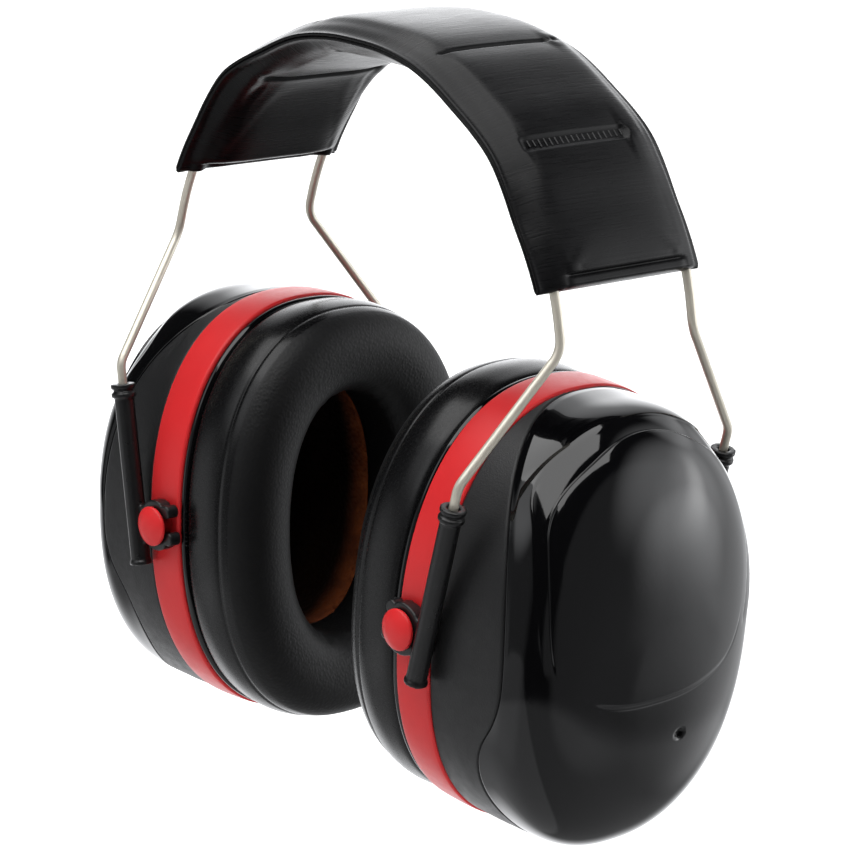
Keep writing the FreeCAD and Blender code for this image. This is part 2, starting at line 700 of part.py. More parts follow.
def build_wire(label, side):
    """One spring wire from tube to tube over the head."""
    points = wire_corners(side)
    leg = rounded_run(points, (size("upper_bend_radius").number, size("lower_bend_radius").number))
    crown = FreeCAD.Vector(0, points[0].y, (size("arch_height") + size("arch_radius")).number)
    far_end = FreeCAD.Vector(-points[0].x, points[0].y, points[0].z)
    arch = Part.Arc(points[0], crown, far_end).toShape()
    edges = [arch] + leg + [mirror_left(edge) for edge in leg]
    path = doc.addObject("Part::Feature", label + "_path")
    path.Shape = Part.Wire(Part.__sortEdges__(edges))
    start = doc.addObject("Part::Circle", label + "_section")
    start.setExpression("Radius", size("wire_radius").text)
    along = FreeCAD.Rotation(FreeCAD.Vector(0, 0, 1), points[-2] - points[-1])
    start.Placement = FreeCAD.Placement(points[-1], along)
    wire = doc.addObject("Part::Sweep", label)
    wire.Label = label
    wire.Sections = [start]
    wire.Spine = (path, ["Edge%d" % (number + 1) for number in range(len(edges))])
    wire.Solid = True
    wire.Frenet = False
    return wire


def both_sides(points):
    """Full outline of the band from its +Y half, given from the middle outwards and back."""
    return points + [(-across, along) for across, along in reversed(points)]


def revolve_over_head(body, points, half_angle):
    """Turn a section of (front-to-rear, radius) points about the arch's centre."""
    sketch = draw_polygon(new_sketch(body, "YZ_Plane", NOTHING, size("arch_height")), points)
    feature(body, "Revolution", sketch, ReferenceAxis=(sketch, ["H_Axis"]),
            Angle=TWO * half_angle, Midplane=True)


def cover_half(sign, pad):
    """Half section of a cover: outside from the middle to the rim, then back inside.

    sign is 1 above the weld and -1 below it. pad is the height of the foam it covers.
    """
    weld = size("arch_radius")
    way = plain(sign)
    ply = size("ply")
    rim = size("band_half_width")
    foot = rim - size("rim_width")
    wall = size("wire_side") + size("channel_half")
    shelf = size("wire_side") - size("channel_half") - size("channel_slope")
    channel = size("channel_rise")
    flat = size("pad_half_width")
    return [
        (flat, weld + way * (pad + ply)),
        (shelf, weld + way * (channel + ply)),
        (wall, weld + way * (channel + ply)),
        (foot + ply, weld + way * ply),
        (rim, weld + way * ply),
        (rim, weld),
        (foot, weld),
        (wall, weld + way * channel),
        (shelf, weld + way * channel),
        (flat, weld + way * pad),
    ]


def build_cover(body, sign, pad):
    revolve_over_head(body, both_sides(cover_half(sign, pad)), size("band_half_angle"))


def build_band_foam(body):
    weld = size("arch_radius")
    gap = size("fit_gap")
    flat = size("pad_half_width") - gap
    side = size("wire_side") - size("channel_half") - size("channel_slope") - gap
    channel = size("channel_rise") - gap
    half = [
        (flat, weld + size("pad_rise") - gap),
        (side, weld + channel),
        (side, weld - channel),
        (flat, weld - size("pad_sink") + gap),
    ]
    revolve_over_head(body, both_sides(half), size("foam_half_angle"))


# ---------------------------------------------------------------- assembly

def place(item, turned, angle_alias=None, half_turn=False):
    """Put a piece of one side in place: on the tilt axis, leaning, and turned for the right."""
    across = FreeCAD.Vector(PIVOT_REACH.number, 0, 0)
    placement = FreeCAD.Placement(across, FreeCAD.Rotation())
    if angle_alias:
        tilt = FreeCAD.Rotation(FreeCAD.Vector(0, 1, 0), size(angle_alias).number)
        placement = placement * FreeCAD.Placement(FreeCAD.Vector(), tilt)
    about = FreeCAD.Rotation(FreeCAD.Vector(0, 0, 1), 180)
    turn = FreeCAD.Placement(FreeCAD.Vector(), about)
    if half_turn:
        placement = placement * turn
    if turned:
        placement = turn * placement
    item.Placement = placement


CUP_PIECES = (
    ("outer_cap", build_outer_cap),
    ("mid_shell", build_mid_shell),
    ("trim_ring", build_trim_ring),
    ("inner_cup", build_inner_cup),
    ("casing_foam", build_casing_foam),
    ("foam_liner", build_foam_liner),
    ("seal_plate", build_seal_plate),
    ("cushion_cover", build_cushion_cover),
    ("cushion_foam", build_cushion_foam),
)

parts = []
for side_name, turned in (("left", False), ("right", True)):
    for piece, build in CUP_PIECES:
        body = new_body("%s_%s" % (side_name, piece))
        build(body)
        place(body, turned, "toe_in_angle")
        parts.append(body)
    # A half turn swaps front and rear, so that names follow the wearer.
    for end_name, side in (("front", 1 if turned else -1), ("rear", -1 if turned else 1)):
        stud = new_body("%s_%s_stud" % (side_name, end_name))
        build_stud(stud)
        place(stud, turned, "toe_in_angle", half_turn=side < 0)
        arm = new_body("%s_%s_arm" % (side_name, end_name))
        build_arm(arm, side)
        place(arm, turned, "tube_lean_angle")
        parts += [stud, arm]

for end_name, side in (("front", -1), ("rear", 1)):
    parts.append(build_wire(end_name + "_wire", side))

for label, sign, pad_alias in (("band_cover_top", 1, "pad_rise"),
                               ("band_cover_bottom", -1, "pad_sink")):
    cover = new_body(label)
    build_cover(cover, sign, size(pad_alias))
    parts.append(cover)
band_foam = new_body("band_foam")
build_band_foam(band_foam)
parts.append(band_foam)

doc.recompute()
for item in doc.Objects:
    if "Invalid" in item.State or "Error" in item.State:
        raise RuntimeError("%s failed to build: %s" % (item.Label, item.State))
for item in parts:
    if item.Shape.isNull() or not item.Shape.isValid():
        raise RuntimeError("%s has no valid shape" % item.Label)

os.makedirs("parts", exist_ok=True)
for item in parts:
    item.Shape.exportStep("parts/%s.step" % item.Label)
    print(item.Label, len(item.Shape.Solids), round(item.Shape.Volume, 1))
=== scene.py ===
import bpy
import bmesh
import json
import math
import numpy as np
from mathutils import Matrix, Quaternion, Vector


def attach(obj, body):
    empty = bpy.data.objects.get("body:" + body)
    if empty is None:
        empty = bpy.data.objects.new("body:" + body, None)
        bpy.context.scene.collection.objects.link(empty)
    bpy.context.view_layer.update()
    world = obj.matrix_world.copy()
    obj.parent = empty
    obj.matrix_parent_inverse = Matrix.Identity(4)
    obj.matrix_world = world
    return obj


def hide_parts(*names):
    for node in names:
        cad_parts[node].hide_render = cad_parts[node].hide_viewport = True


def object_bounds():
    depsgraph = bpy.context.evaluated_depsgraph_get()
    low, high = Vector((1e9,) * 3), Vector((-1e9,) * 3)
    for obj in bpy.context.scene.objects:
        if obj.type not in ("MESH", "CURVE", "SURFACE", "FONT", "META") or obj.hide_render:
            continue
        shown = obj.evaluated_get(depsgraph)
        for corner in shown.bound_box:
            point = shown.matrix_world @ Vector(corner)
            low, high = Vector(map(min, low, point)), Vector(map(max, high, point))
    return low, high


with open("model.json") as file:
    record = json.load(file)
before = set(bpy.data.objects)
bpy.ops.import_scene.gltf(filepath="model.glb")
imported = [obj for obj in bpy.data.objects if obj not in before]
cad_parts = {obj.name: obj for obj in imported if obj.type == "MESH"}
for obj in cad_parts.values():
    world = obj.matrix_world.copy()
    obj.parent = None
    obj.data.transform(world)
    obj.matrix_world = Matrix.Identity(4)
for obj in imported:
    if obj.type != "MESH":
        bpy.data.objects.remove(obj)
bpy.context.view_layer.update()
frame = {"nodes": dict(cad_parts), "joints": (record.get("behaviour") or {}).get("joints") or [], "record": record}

# Earmuff hearing protector. Shapes are worked out in millimetres in each part's own frame,
# then put in place in metres. Cup frame: x outboard, y to one end, z up, from the tilt axis.
MM = 0.001

# ---------------------------------------------------------------- sizes of the cup
CUP_HALF_WIDTH = 38.0
CUP_HALF_HEIGHT = 50.0
OVAL_POWER = 2.28
RING_INNER = -4.6
RIM = 5.9
RING_WALL = 3.0
PLATE_BACK = -6.6
SHELL_WALL = 2.2
RING_COLUMNS = 240
# reach from the band, half width, top, bottom of the casing
CASING_SECTIONS = (
    (0.0, 37.6, 49.6, 49.6),
    (7.5, 37.4, 49.4, 49.55),
    (15.0, 36.8, 48.6, 49.3),
    (23.5, 35.0, 41.8, 47.6),
    (28.7, 28.4, 29.6, 39.6),
    (30.9, 17.0, 12.0, 27.6),
    (31.35, 0.0, -8.0, 8.0),
)
# joint line between the matt shell and the gloss cap
PARTING_PEAK_REACH = 20.6
PARTING_PEAK_DROP = 5.0
PARTING_NOTCH_REACH = 12.3
PARTING_NOTCH_DROP = 31.0
PARTING_FOOT_DROP = 43.0
PARTING_RADIUS = 84.0
# ridge round the face panel: reach, distance from the middle, height
PANEL_OUTLINE = (
    (19.8, 0.0, 45.8), (20.0, 5.0, 45.3), (20.6, 10.0, 43.9), (21.2, 15.5, 41.3),
    (21.3, 20.6, 38.0), (22.2, 24.4, 33.6), (24.3, 26.3, 28.6), (26.4, 27.2, 22.0),
    (27.8, 27.3, 14.0), (28.8, 27.0, 6.0), (29.5, 25.2, -1.0), (29.95, 21.6, -6.0),
    (30.35, 16.5, -8.9), (30.7, 9.5, -10.8), (30.9, 0.0, -11.4),
)


# ---------------------------------------------------------------- places
class Side:
    """Frames of one cup and its arms, from the record."""

    def __init__(self, name):
        joint = {j["name"]: j for j in frame["joints"]}
        mount = {m["name"]: m for m in frame["record"]["mounts"]}
        self.name = name
        self.cup_body = name + "_cup"
        self.arm_body = name + "_arms"
        self.pivot = np.array(joint[name + "_tilt"]["pos_m"], float) / MM
        across = np.array(joint[name + "_tilt"]["axis"], float)
        outboard = -np.array(mount[name + "_seal"]["axis"], float)
        up = -np.array(joint[name + "_height"]["axis"], float)
        self.cup = np.array([outboard, across, np.cross(outboard, across)])
        self.arm = np.array([np.cross(across, up), across, up])
        self.front = -1 if across[1] > 0 else 1

    def from_cup(self, points):
        return self.pivot + np.asarray(points, float) @ self.cup

    def from_arm(self, points):
        return self.pivot + np.asarray(points, float) @ self.arm


SIDES = (Side("left"), Side("right"))


# ---------------------------------------------------------------- meshes
def quads(rows, columns, loop=False, around=True, first=0):
    """Faces of a grid of points, row by row, joined round its columns and maybe its rows."""
    row = np.arange(rows if loop else rows - 1)
    column = np.arange(columns if around else columns - 1)
    r, c = np.meshgrid(row, column, indexing="ij")
    after_r = (r + 1) % rows
    after_c = (c + 1) % columns
    near, far = r * columns, after_r * columns
    return (np.stack((near + c, near + after_c, far + after_c, far + c), -1).reshape(-1, 4) + first).tolist()


def fan(centre, first, columns, flip=False):
    """Triangles from a centre point to one row of a closed grid."""
    faces = []
    for c in range(columns):
        a, b = first + c, first + (c + 1) % columns
        faces.append([centre, b, a] if flip else [centre, a, b])
    return faces


def make_mesh(name, points, faces, uv=None):
    """Mesh from points in millimetres, its faces turned outwards and shaded smooth."""
    mesh = bpy.data.meshes.new(name)
    mesh.from_pydata((np.asarray(points, float) * MM).tolist(), [], faces)
    if uv is not None:
        layer = mesh.uv_layers.new(name="along")
        corner = np.zeros(len(mesh.loops), int)
        mesh.loops.foreach_get("vertex_index", corner)
        layer.data.foreach_set("uv", np.asarray(uv, float)[corner].ravel())
    work = bmesh.new()
    work.from_mesh(mesh)
    bmesh.ops.recalc_face_normals(work, faces=work.faces)
    work.to_mesh(mesh)
    work.free()
    mesh.shade_smooth()
    return mesh


def set_out(name, data):
    """Object at the origin for a mesh, a lamp or the camera."""
    made = bpy.data.objects.new(name, data)
    bpy.context.scene.collection.objects.link(made)
    return made


def make_piece(name, points, faces, uv=None):
    return set_out(name, make_mesh(name, points, faces, uv))


def plain_mesh(piece):
    """New mesh of a piece, as its modifiers leave it."""
    bpy.context.view_layer.update()
    return bpy.data.meshes.new_from_object(piece.evaluated_get(bpy.context.evaluated_depsgraph_get()))


def finish_piece(piece, body, material, replaced=()):
    """Give a piece its material, its body and the solids that it stands for."""
    piece.data.materials.clear()
    piece.data.materials.append(material)
    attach(piece, body)
    if replaced:
        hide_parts(*replaced)


def run_length(points):
    """Distance along a line of points, from its start to each of them."""
    return np.append(0, np.cumsum(np.linalg.norm(np.diff(points, axis=0), axis=1)))


def oval(half_width, half_height, count):
    """Points (y, z) round an upright oval, anticlockwise from +y, evenly spread."""
    turn = np.linspace(0, 2 * math.pi, 4 * count, endpoint=False)
    y = half_width * np.sign(np.cos(turn)) * np.abs(np.cos(turn)) ** (2 / OVAL_POWER)
    z = half_height * np.sign(np.sin(turn)) * np.abs(np.sin(turn)) ** (2 / OVAL_POWER)
    closed = np.stack([np.append(y, y[0]), np.append(z, z[0])], 1)
    length = run_length(closed)
    even = np.linspace(0, length[-1], count, endpoint=False)
    return np.stack([np.interp(even, length, closed[:, axis]) for axis in (0, 1)], 1)


def cup_ring(reach, inset, count):
    """Ring of points in the cup's frame at a distance outboard, drawn in by an inset."""
    edge = oval(CUP_HALF_WIDTH - inset, CUP_HALF_HEIGHT - inset, count)
    return np.column_stack([np.full(count, float(reach)), edge])


def arc_points(centre, radius, start, end, count):
    """Points of an arc in a plane, angles in degrees."""
    turn = np.radians(np.linspace(start, end, count))
    return [(centre[0] + radius * math.cos(t), centre[1] + radius * math.sin(t)) for t in turn]


def sweep_cup(name, side, profile):
    """Closed band with this (reach, inset) section, swept round the cup's oval."""
    points = np.concatenate([cup_ring(reach, inset, RING_COLUMNS) for reach, inset in profile])
    return make_piece(name, side.from_cup(points), quads(len(profile), RING_COLUMNS, loop=True))


def spin(profile, count):
    """Points and faces of a (radius, height) profile turned about its own axis."""
    turn = np.linspace(0, 2 * math.pi, count, endpoint=False)
    points, faces, rows = [], [], []
    for radius, height in profile:
        if radius < 1e-6:
            rows.append([len(points)])
            points.append((0.0, 0.0, height))
        else:
            rows.append(list(range(len(points), len(points) + count)))
            points += [(radius * math.cos(t), radius * math.sin(t), height) for t in turn]
    for low, high in zip(rows, rows[1:]):
        for c in range(count):
            d = (c + 1) % count
            if len(low) == 1:
                faces.append([low[0], high[d], high[c]])
            elif len(high) == 1:
                faces.append([low[c], low[d], high[0]])
            else:
                faces.append([low[c], low[d], high[d], high[c]])
    return np.array(points), faces


def cubic(knots, values, query, start=None, end=None):
    """Cubic spline with optional end slopes, one column of values at a time."""
    knots = np.asarray(knots, float)
    values = np.asarray(values, float).reshape(len(knots), -1)
    n = len(knots)
    h = np.diff(knots)
    matrix = np.zeros((n, n))
    right = np.zeros_like(values)
    for i in range(1, n - 1):
        matrix[i, i - 1] = h[i - 1]
        matrix[i, i] = 2 * (h[i - 1] + h[i])
        matrix[i, i + 1] = h[i]
        right[i] = 6 * ((values[i + 1] - values[i]) / h[i] - (values[i] - values[i - 1]) / h[i - 1])
    matrix[0, 0] = 1
    matrix[-1, -1] = 1
    if start is not None:
        matrix[0, :2] = 2 * h[0], h[0]
        right[0] = 6 * ((values[1] - values[0]) / h[0] - np.asarray(start, float))
    if end is not None:
        matrix[-1, -2:] = h[-1], 2 * h[-1]
        right[-1] = 6 * (np.asarray(end, float) - (values[-1] - values[-2]) / h[-1])
    bend = np.linalg.solve(matrix, right)
    query = np.asarray(query, float)
    i = np.clip(np.searchsorted(knots, query) - 1, 0, n - 2)
    a = (knots[i + 1] - query)[:, None]
    b = (query - knots[i])[:, None]
    step = h[i][:, None]
    return (bend[i] * a ** 3 + bend[i + 1] * b ** 3) / (6 * step) \
        + (values[i] / step - bend[i] * step / 6) * a \
        + (values[i + 1] / step - bend[i + 1] * step / 6) * b


def step(low, high, value):
    """Smooth step from 0 at low to 1 at high."""
    t = np.clip((np.asarray(value, float) - low) / (high - low), 0, 1)
    return t * t * (3 - 2 * t)


def bump(centre, half, value):
    """Smooth hump of height 1 at centre, gone at half either side."""
    t = np.clip(1 - np.abs(np.asarray(value, float) - centre) / half, 0, 1)
    return t * t * (3 - 2 * t)


def dent(distance, width):
    """Round dent of depth 1 with a soft edge, most of it within a width."""
    return np.exp(-(distance / width) ** 2)


# ---------------------------------------------------------------- casing surface
TABLE_ROWS = 3000
FARTHEST = 80.0
HALVINGS = 44
PARTING_HALVINGS = 40


def casing_table():
    """Reach, half width, middle height and half height of the casing along a meridian."""
    rows = np.array(CASING_SECTIONS)
    reach, half, top, bottom = rows.T
    shape = np.stack([reach, half, (top - bottom) / 2, (top + bottom) / 2], 1)
    length = np.append(0, np.cumsum(np.hypot(np.diff(reach), np.diff(half + shape[:, 3]) / 2)))
    end = (shape[-1] - shape[-2]) / (length[-1] - length[-2]) * 1.02
    end[0] = 0.0
    start = np.array([1.0, -0.01, 0.0, -0.01])
    return cubic(length, shape, np.linspace(0, length[-1], TABLE_ROWS), start, end)


CASING = casing_table()
CASING[:, 0] = np.maximum.accumulate(CASING[:, 0] + np.arange(len(CASING)) * 1e-9)
CASING[:, 1] = np.maximum(CASING[:, 1], 0)
CASING[:, 3] = np.maximum(CASING[:, 3], 0)


def casing_points(directions):
    """Points of the casing along directions from the middle of the rim's plane."""
    directions = directions / np.linalg.norm(directions, axis=1)[:, None]
    low = np.zeros(len(directions))
    high = np.full(len(directions), FARTHEST)
    for _ in range(HALVINGS):
        middle = (low + high) / 2
        place = directions * middle[:, None]
        reach = place[:, 0]
        half = np.interp(reach, CASING[:, 0], CASING[:, 1], right=0)
        centre = np.interp(reach, CASING[:, 0], CASING[:, 2])
        height = np.interp(reach, CASING[:, 0], CASING[:, 3], right=0)
        filled = np.abs(place[:, 1] / np.maximum(half, 1e-6)) ** OVAL_POWER \
            + np.abs((place[:, 2] - centre) / np.maximum(height, 1e-6)) ** OVAL_POWER
        outside = (filled > 1) | (reach > CASING[-1, 0])
        high = np.where(outside, middle, high)
        low = np.where(outside, low, middle)
    return directions * low[:, None]


def parting_reach(z):
    """How far outboard the joint line lies at each height."""
    swing = PARTING_PEAK_REACH - PARTING_NOTCH_REACH
    drop = PARTING_NOTCH_DROP - PARTING_PEAK_DROP
    bend = (swing ** 2 + drop ** 2) / (4 * swing)
    middle = -(PARTING_PEAK_DROP + PARTING_NOTCH_DROP) / 2
    foot = -PARTING_FOOT_DROP
    foot_side = math.sqrt(bend ** 2 - (foot + PARTING_NOTCH_DROP) ** 2)
    foot_reach = PARTING_NOTCH_REACH + bend - foot_side
    slope = (PARTING_FOOT_DROP - PARTING_NOTCH_DROP) / foot_side
    upper = PARTING_PEAK_REACH - PARTING_RADIUS + np.sqrt(PARTING_RADIUS ** 2 - (z + PARTING_PEAK_DROP) ** 2)
    within = np.clip(z + PARTING_PEAK_DROP, -bend, bend)
    turn = PARTING_PEAK_REACH - bend + np.sqrt(bend ** 2 - within ** 2)
    below = np.clip(z + PARTING_NOTCH_DROP, -bend, bend)
    notch = PARTING_NOTCH_REACH + bend - np.sqrt(bend ** 2 - below ** 2)
    run = foot_reach + (foot - z) * slope
    return np.where(z > -PARTING_PEAK_DROP, upper, np.where(z > middle, turn, np.where(z > foot, notch, run)))


# Directions on the cap are given from a pole in the middle of the face panel.
POLE = np.array([30.6, 0.0, 17.0])
POLE = POLE / np.linalg.norm(POLE)
POLE_UP = np.array([-POLE[2], 0.0, POLE[0]])
POLE_SIDE = np.array([0.0, 1.0, 0.0])
CASING_HEART = np.array([5.0, 0, 0])
COLUMNS = 360
AZIMUTH = np.linspace(0, 2 * math.pi, COLUMNS, endpoint=False)


def headed(azimuth, tilt):
    """Directions at an azimuth round the pole and a tilt away from it."""
    around = np.cos(azimuth)[:, None] * POLE_UP + np.sin(azimuth)[:, None] * POLE_SIDE
    return np.cos(tilt)[:, None] * POLE + np.sin(tilt)[:, None] * around


def panel_tilts():
    """Tilt of the panel's outline at each column."""
    half = np.array(PANEL_OUTLINE)
    ways = half / np.linalg.norm(half, axis=1)[:, None]
    tilt = np.arccos(ways @ POLE)
    azimuth = np.arctan2(ways @ POLE_SIDE, ways @ POLE_UP)
    knots = np.concatenate([-azimuth[:0:-1], azimuth, 2 * math.pi - azimuth[-2::-1]])
    values = np.concatenate([tilt[:0:-1], tilt, tilt[-2::-1]])
    return cubic(knots, values, AZIMUTH)[:, 0]


def parting_tilts(rim):
    """Tilt of the joint line at each column, found between the pole and the rim."""
    low, high = np.zeros(COLUMNS), rim.copy()
    for _ in range(PARTING_HALVINGS):
        middle = (low + high) / 2
        place = casing_points(headed(AZIMUTH, middle))
        inside = place[:, 0] > parting_reach(place[:, 2])
        low = np.where(inside, middle, low)
        high = np.where(inside, high, middle)
    return low


RIM_TILT = np.arctan2(POLE[0], -np.cos(AZIMUTH) * POLE_UP[0])
PANEL_TILT = panel_tilts()
PARTING_TILT = parting_tilts(RIM_TILT)


def casing_rows(start, end, count):
    """Rows of casing points from one tilt to another, evenly spread along each column."""
    share = np.linspace(0, 1, 3 * count)
    fine = np.stack([casing_points(headed(AZIMUTH, start + (end - start) * s)) for s in share])
    steps = np.linalg.norm(np.diff(fine, axis=0), axis=2)
    length = np.concatenate([np.zeros((1, COLUMNS)), np.cumsum(steps, 0)])
    rows = np.zeros((count, COLUMNS, 3))
    for c in range(COLUMNS):
        even = np.linspace(0, length[-1, c], count)
        for axis in range(3):
            rows[:, c, axis] = np.interp(even, length[:, c], fine[:, c, axis])
    return rows, length[-1]


def row_normals(rows):
    """Outward normals of rows of points, pole side first."""
    down = np.gradient(rows, axis=0)
    sideways = (np.roll(rows, -1, axis=1) - np.roll(rows, 1, axis=1)) / 2
    normal = np.cross(sideways, down)
    normal /= np.maximum(np.linalg.norm(normal, axis=2), 1e-9)[:, :, None]
    outward = np.sign(np.sum(normal * (rows - CASING_HEART), axis=2))
    outward[outward == 0] = 1
    return normal * outward[:, :, None]


def closed_shell(name, side, outer, inner, pole):
    """Shell between an outside and a plain inner wall, closed at its pole or open like a band."""
    thinned = list(range(len(inner) - 1, 0, -INNER_STEP)) + [0]
    rows = np.concatenate([outer, inner[thinned]])
    count = len(rows)
    points = rows.reshape(-1, 3)
    faces = quads(count, COLUMNS, loop=not pole)
    if pole:
        tips = np.array([outer[0].mean(0), inner[0].mean(0)])
        faces += fan(len(points), 0, COLUMNS, flip=True)
        faces += fan(len(points) + 1, (count - 1) * COLUMNS, COLUMNS)
        points = np.concatenate([points, tips])
    points = points + np.array([RIM, 0, 0])
    return make_piece(name, side.from_cup(points), faces)


# Details of the cap, as rises along the surface's normal and widths away from the panel's ridge.
INNER_STEP = 6
PANEL_ROWS = 56
BORDER_ROWS = 124
SHELL_ROW_COUNT = 44
BEVEL_WIDTH = 2.6
BEVEL_DROP = 0.08
WALL_WIDTH = 0.45
GROOVE_DEPTH = 0.2
GROOVE_WIDTH = 2.6
TOP_TROUGH_DEPTH = 0.75
TOP_TROUGH_WIDTH = 3.6
CORNER_EXTRA = 3.0
FRAME_RISE = 0.12
BOTTOM_STEP = 0.2
CREASE_DEPTH = 0.12
EDGE_ROUND = 0.5
EDGE_DROP = 0.45
POLE_HOLE = 0.012
PARTING_DROP = 0.35
PARTING_ROUND = 0.45
RIM_DROP = 0.3
RIM_ROUND = 0.5
# spans over which a detail comes in, by the height of the panel's ridge; the last by its side
GROOVE_SPAN = (0.6, 3.6)
FRAME_SPAN = (4.0, 9.0)
UPPER_SPAN = (27.0, 40.0)
BOTTOM_SPAN = (-5.0, 5.0)
FRONT_SPAN = (-19.0, -7.0)
# height of the wider corners of the trough, and how far either side they reach
CORNER_HUMP = (37.0, 9.0)
# distances across the panel's ridge: start and end of a slope, and middle and half width of the crease
PROUD_RISE = (-18.0, -1.0)
PROUD_FALL = (-0.1, 0.8)
CREASE_HUMP = (0.6, 0.5)
DIMPLE = (9.5, -21.6)
DIMPLE_RADIUS = 1.35
DIMPLE_DEPTH = 1.1


def cap_outside():
    """Gloss cap's outside and inside: face panel, bevel, groove, raised frame, drain dimple."""
    panel, panel_length = casing_rows(np.full(COLUMNS, POLE_HOLE), PANEL_TILT, PANEL_ROWS)
    border, border_length = casing_rows(PANEL_TILT, PARTING_TILT, BORDER_ROWS)
    rows = np.concatenate([panel, border[1:]])
    normal = row_normals(rows)
    out = np.concatenate([
        np.linspace(-1, 0, PANEL_ROWS)[:, None] * panel_length,
        np.linspace(0, 1, BORDER_ROWS)[1:, None] * border_length])
    ridge = casing_points(headed(AZIMUTH, PANEL_TILT))
    height = ridge[:, 2]
    left = border_length - out
    grooved = step(*GROOVE_SPAN, height)
    upper = step(*UPPER_SPAN, height)
    lower = 1 - upper
    bevel = BEVEL_WIDTH * lower + 0.1
    depth = grooved * (GROOVE_DEPTH * lower + TOP_TROUGH_DEPTH * upper)
    width = GROOVE_WIDTH * lower + TOP_TROUGH_WIDTH * upper + CORNER_EXTRA * bump(*CORNER_HUMP, height)
    drop = BEVEL_DROP * grooved * lower
    past_bevel = out - bevel
    wall = step(0.0, WALL_WIDTH, past_bevel)
    across = np.clip((past_bevel - WALL_WIDTH) / width, 0, 1)
    change = -drop * np.clip(out / bevel, 0, 1) * (1 - wall) - drop * wall * (1 - across)
    change -= depth * wall * (1 - across) ** (1.0 + 0.3 * lower)
    frame_edge = step(0.0, 1.0, past_bevel - WALL_WIDTH - width + 0.4) * step(0.3, 2.2, left)
    change += FRAME_RISE * step(*FRAME_SPAN, height) * frame_edge
    chin = (1 - step(*BOTTOM_SPAN, height)) * step(*FRONT_SPAN, ridge[:, 1])
    change += BOTTOM_STEP * chin * (1 - step(*PROUD_FALL, out)) * step(*PROUD_RISE, out)
    change -= CREASE_DEPTH * chin * bump(*CREASE_HUMP, out)
    change -= EDGE_DROP * (1 - step(0.0, EDGE_ROUND, left)) ** 2
    near = np.hypot(rows[:, :, 1] - DIMPLE[0], rows[:, :, 2] - DIMPLE[1])
    change -= DIMPLE_DEPTH * (1 - step(0.55 * DIMPLE_RADIUS, DIMPLE_RADIUS, near)) * (rows[:, :, 0] > 20)
    return rows + normal * change[:, :, None], rows - normal * SHELL_WALL


def mid_shell_outside():
    """Matt shell's outside, from the joint line to the band, and its inner wall."""
    rows, length = casing_rows(PARTING_TILT, RIM_TILT - 1e-4, SHELL_ROW_COUNT)
    normal = row_normals(rows)
    along = np.linspace(0, 1, SHELL_ROW_COUNT)[:, None] * length
    edge = -PARTING_DROP * (1 - step(0.0, PARTING_ROUND, along)) ** 2
    edge -= RIM_DROP * (1 - step(0.0, RIM_ROUND, length - along)) ** 2
    return rows + normal * edge[:, :, None], rows - normal * SHELL_WALL


# ---------------------------------------------------------------- materials
def calls_for(tree, prefix="ShaderNode"):
    """A call that sets up a node of a tree and one that adds it. (node, output) stands for a link."""
    def fill(socket, value):
        if isinstance(value, tuple) and isinstance(value[-1], str):
            tree.links.new(value[0].outputs[value[1]], socket)
        else:
            socket.default_value = value

    def put(node, *ordered, **named):
        for key, value in named.items():
            if key not in node.inputs:
                setattr(node, key, value)
        for socket, value in zip(node.inputs, ordered):
            fill(socket, value)
        for key, value in named.items():
            if key in node.inputs:
                fill(node.inputs[key], value)
        return node

    def add(kind, *ordered, **named):
        return put(tree.nodes.new(prefix + kind), *ordered, **named)

    return put, add


def ramp(add, source, low, high, low_value, high_value, kind="LINEAR"):
    """One span of values turned into another."""
    return add("MapRange", source, low, high, low_value, high_value, interpolation_type=kind), "Result"


def blended(add, share, times, plus):
    return add("Math", share, times, plus, operation="MULTIPLY_ADD"), "Value"


def mottled(add, place, colour, scale, detail, least, most, roughness=0.5):
    """Colour made a little lighter and darker in clouds."""
    cloud = add("TexNoise", Vector=place, Scale=scale, Detail=detail, Roughness=roughness), "Fac"
    tint = ramp(add, cloud, 0.3, 0.7, least, most)
    return add("VectorMath", colour, operation="SCALE", Scale=tint), "Vector"


def along_piece(add):
    """The piece's own map, its second way."""
    return add("SeparateXYZ", (add("UVMap", uv_map="along"), "UV")), "Y"


def finish(name, make, specular, metallic=0.0):
    """Material whose colour, roughness and relief come from make(add, place on the object)."""
    material = bpy.data.materials.new(name)
    material.use_nodes = True
    put, add = calls_for(material.node_tree)
    colour, roughness, relief = make(add, (add("TexCoord"), "Object"))
    put(material.node_tree.nodes["Principled BSDF"], **{
        "Base Color": colour, "Roughness": roughness, "Normal": (relief, "Normal"),
        "Specular IOR Level": specular, "Metallic": metallic})
    return material


def moulded(name, colour, roughness, spread, grain, grain_scale, specular, mottling):
    """Moulded plastic: faint colour mottling, uneven gloss and a fine surface grain."""
    def make(add, place):
        fine = add("TexNoise", Vector=place, Scale=grain_scale, Detail=2.0, Roughness=0.6), "Fac"
        scuff = add("TexNoise", Vector=place, Scale=420.0, Detail=5.0, Roughness=0.7), "Fac"
        return (mottled(add, place, colour, 55.0, 3.0, 1 - mottling, 1 + mottling),
                ramp(add, scuff, 0.35, 0.75, roughness, roughness + spread),
                add("Bump", Strength=grain, Distance=0.0002, Height=fine))
    return finish(name, make, specular)


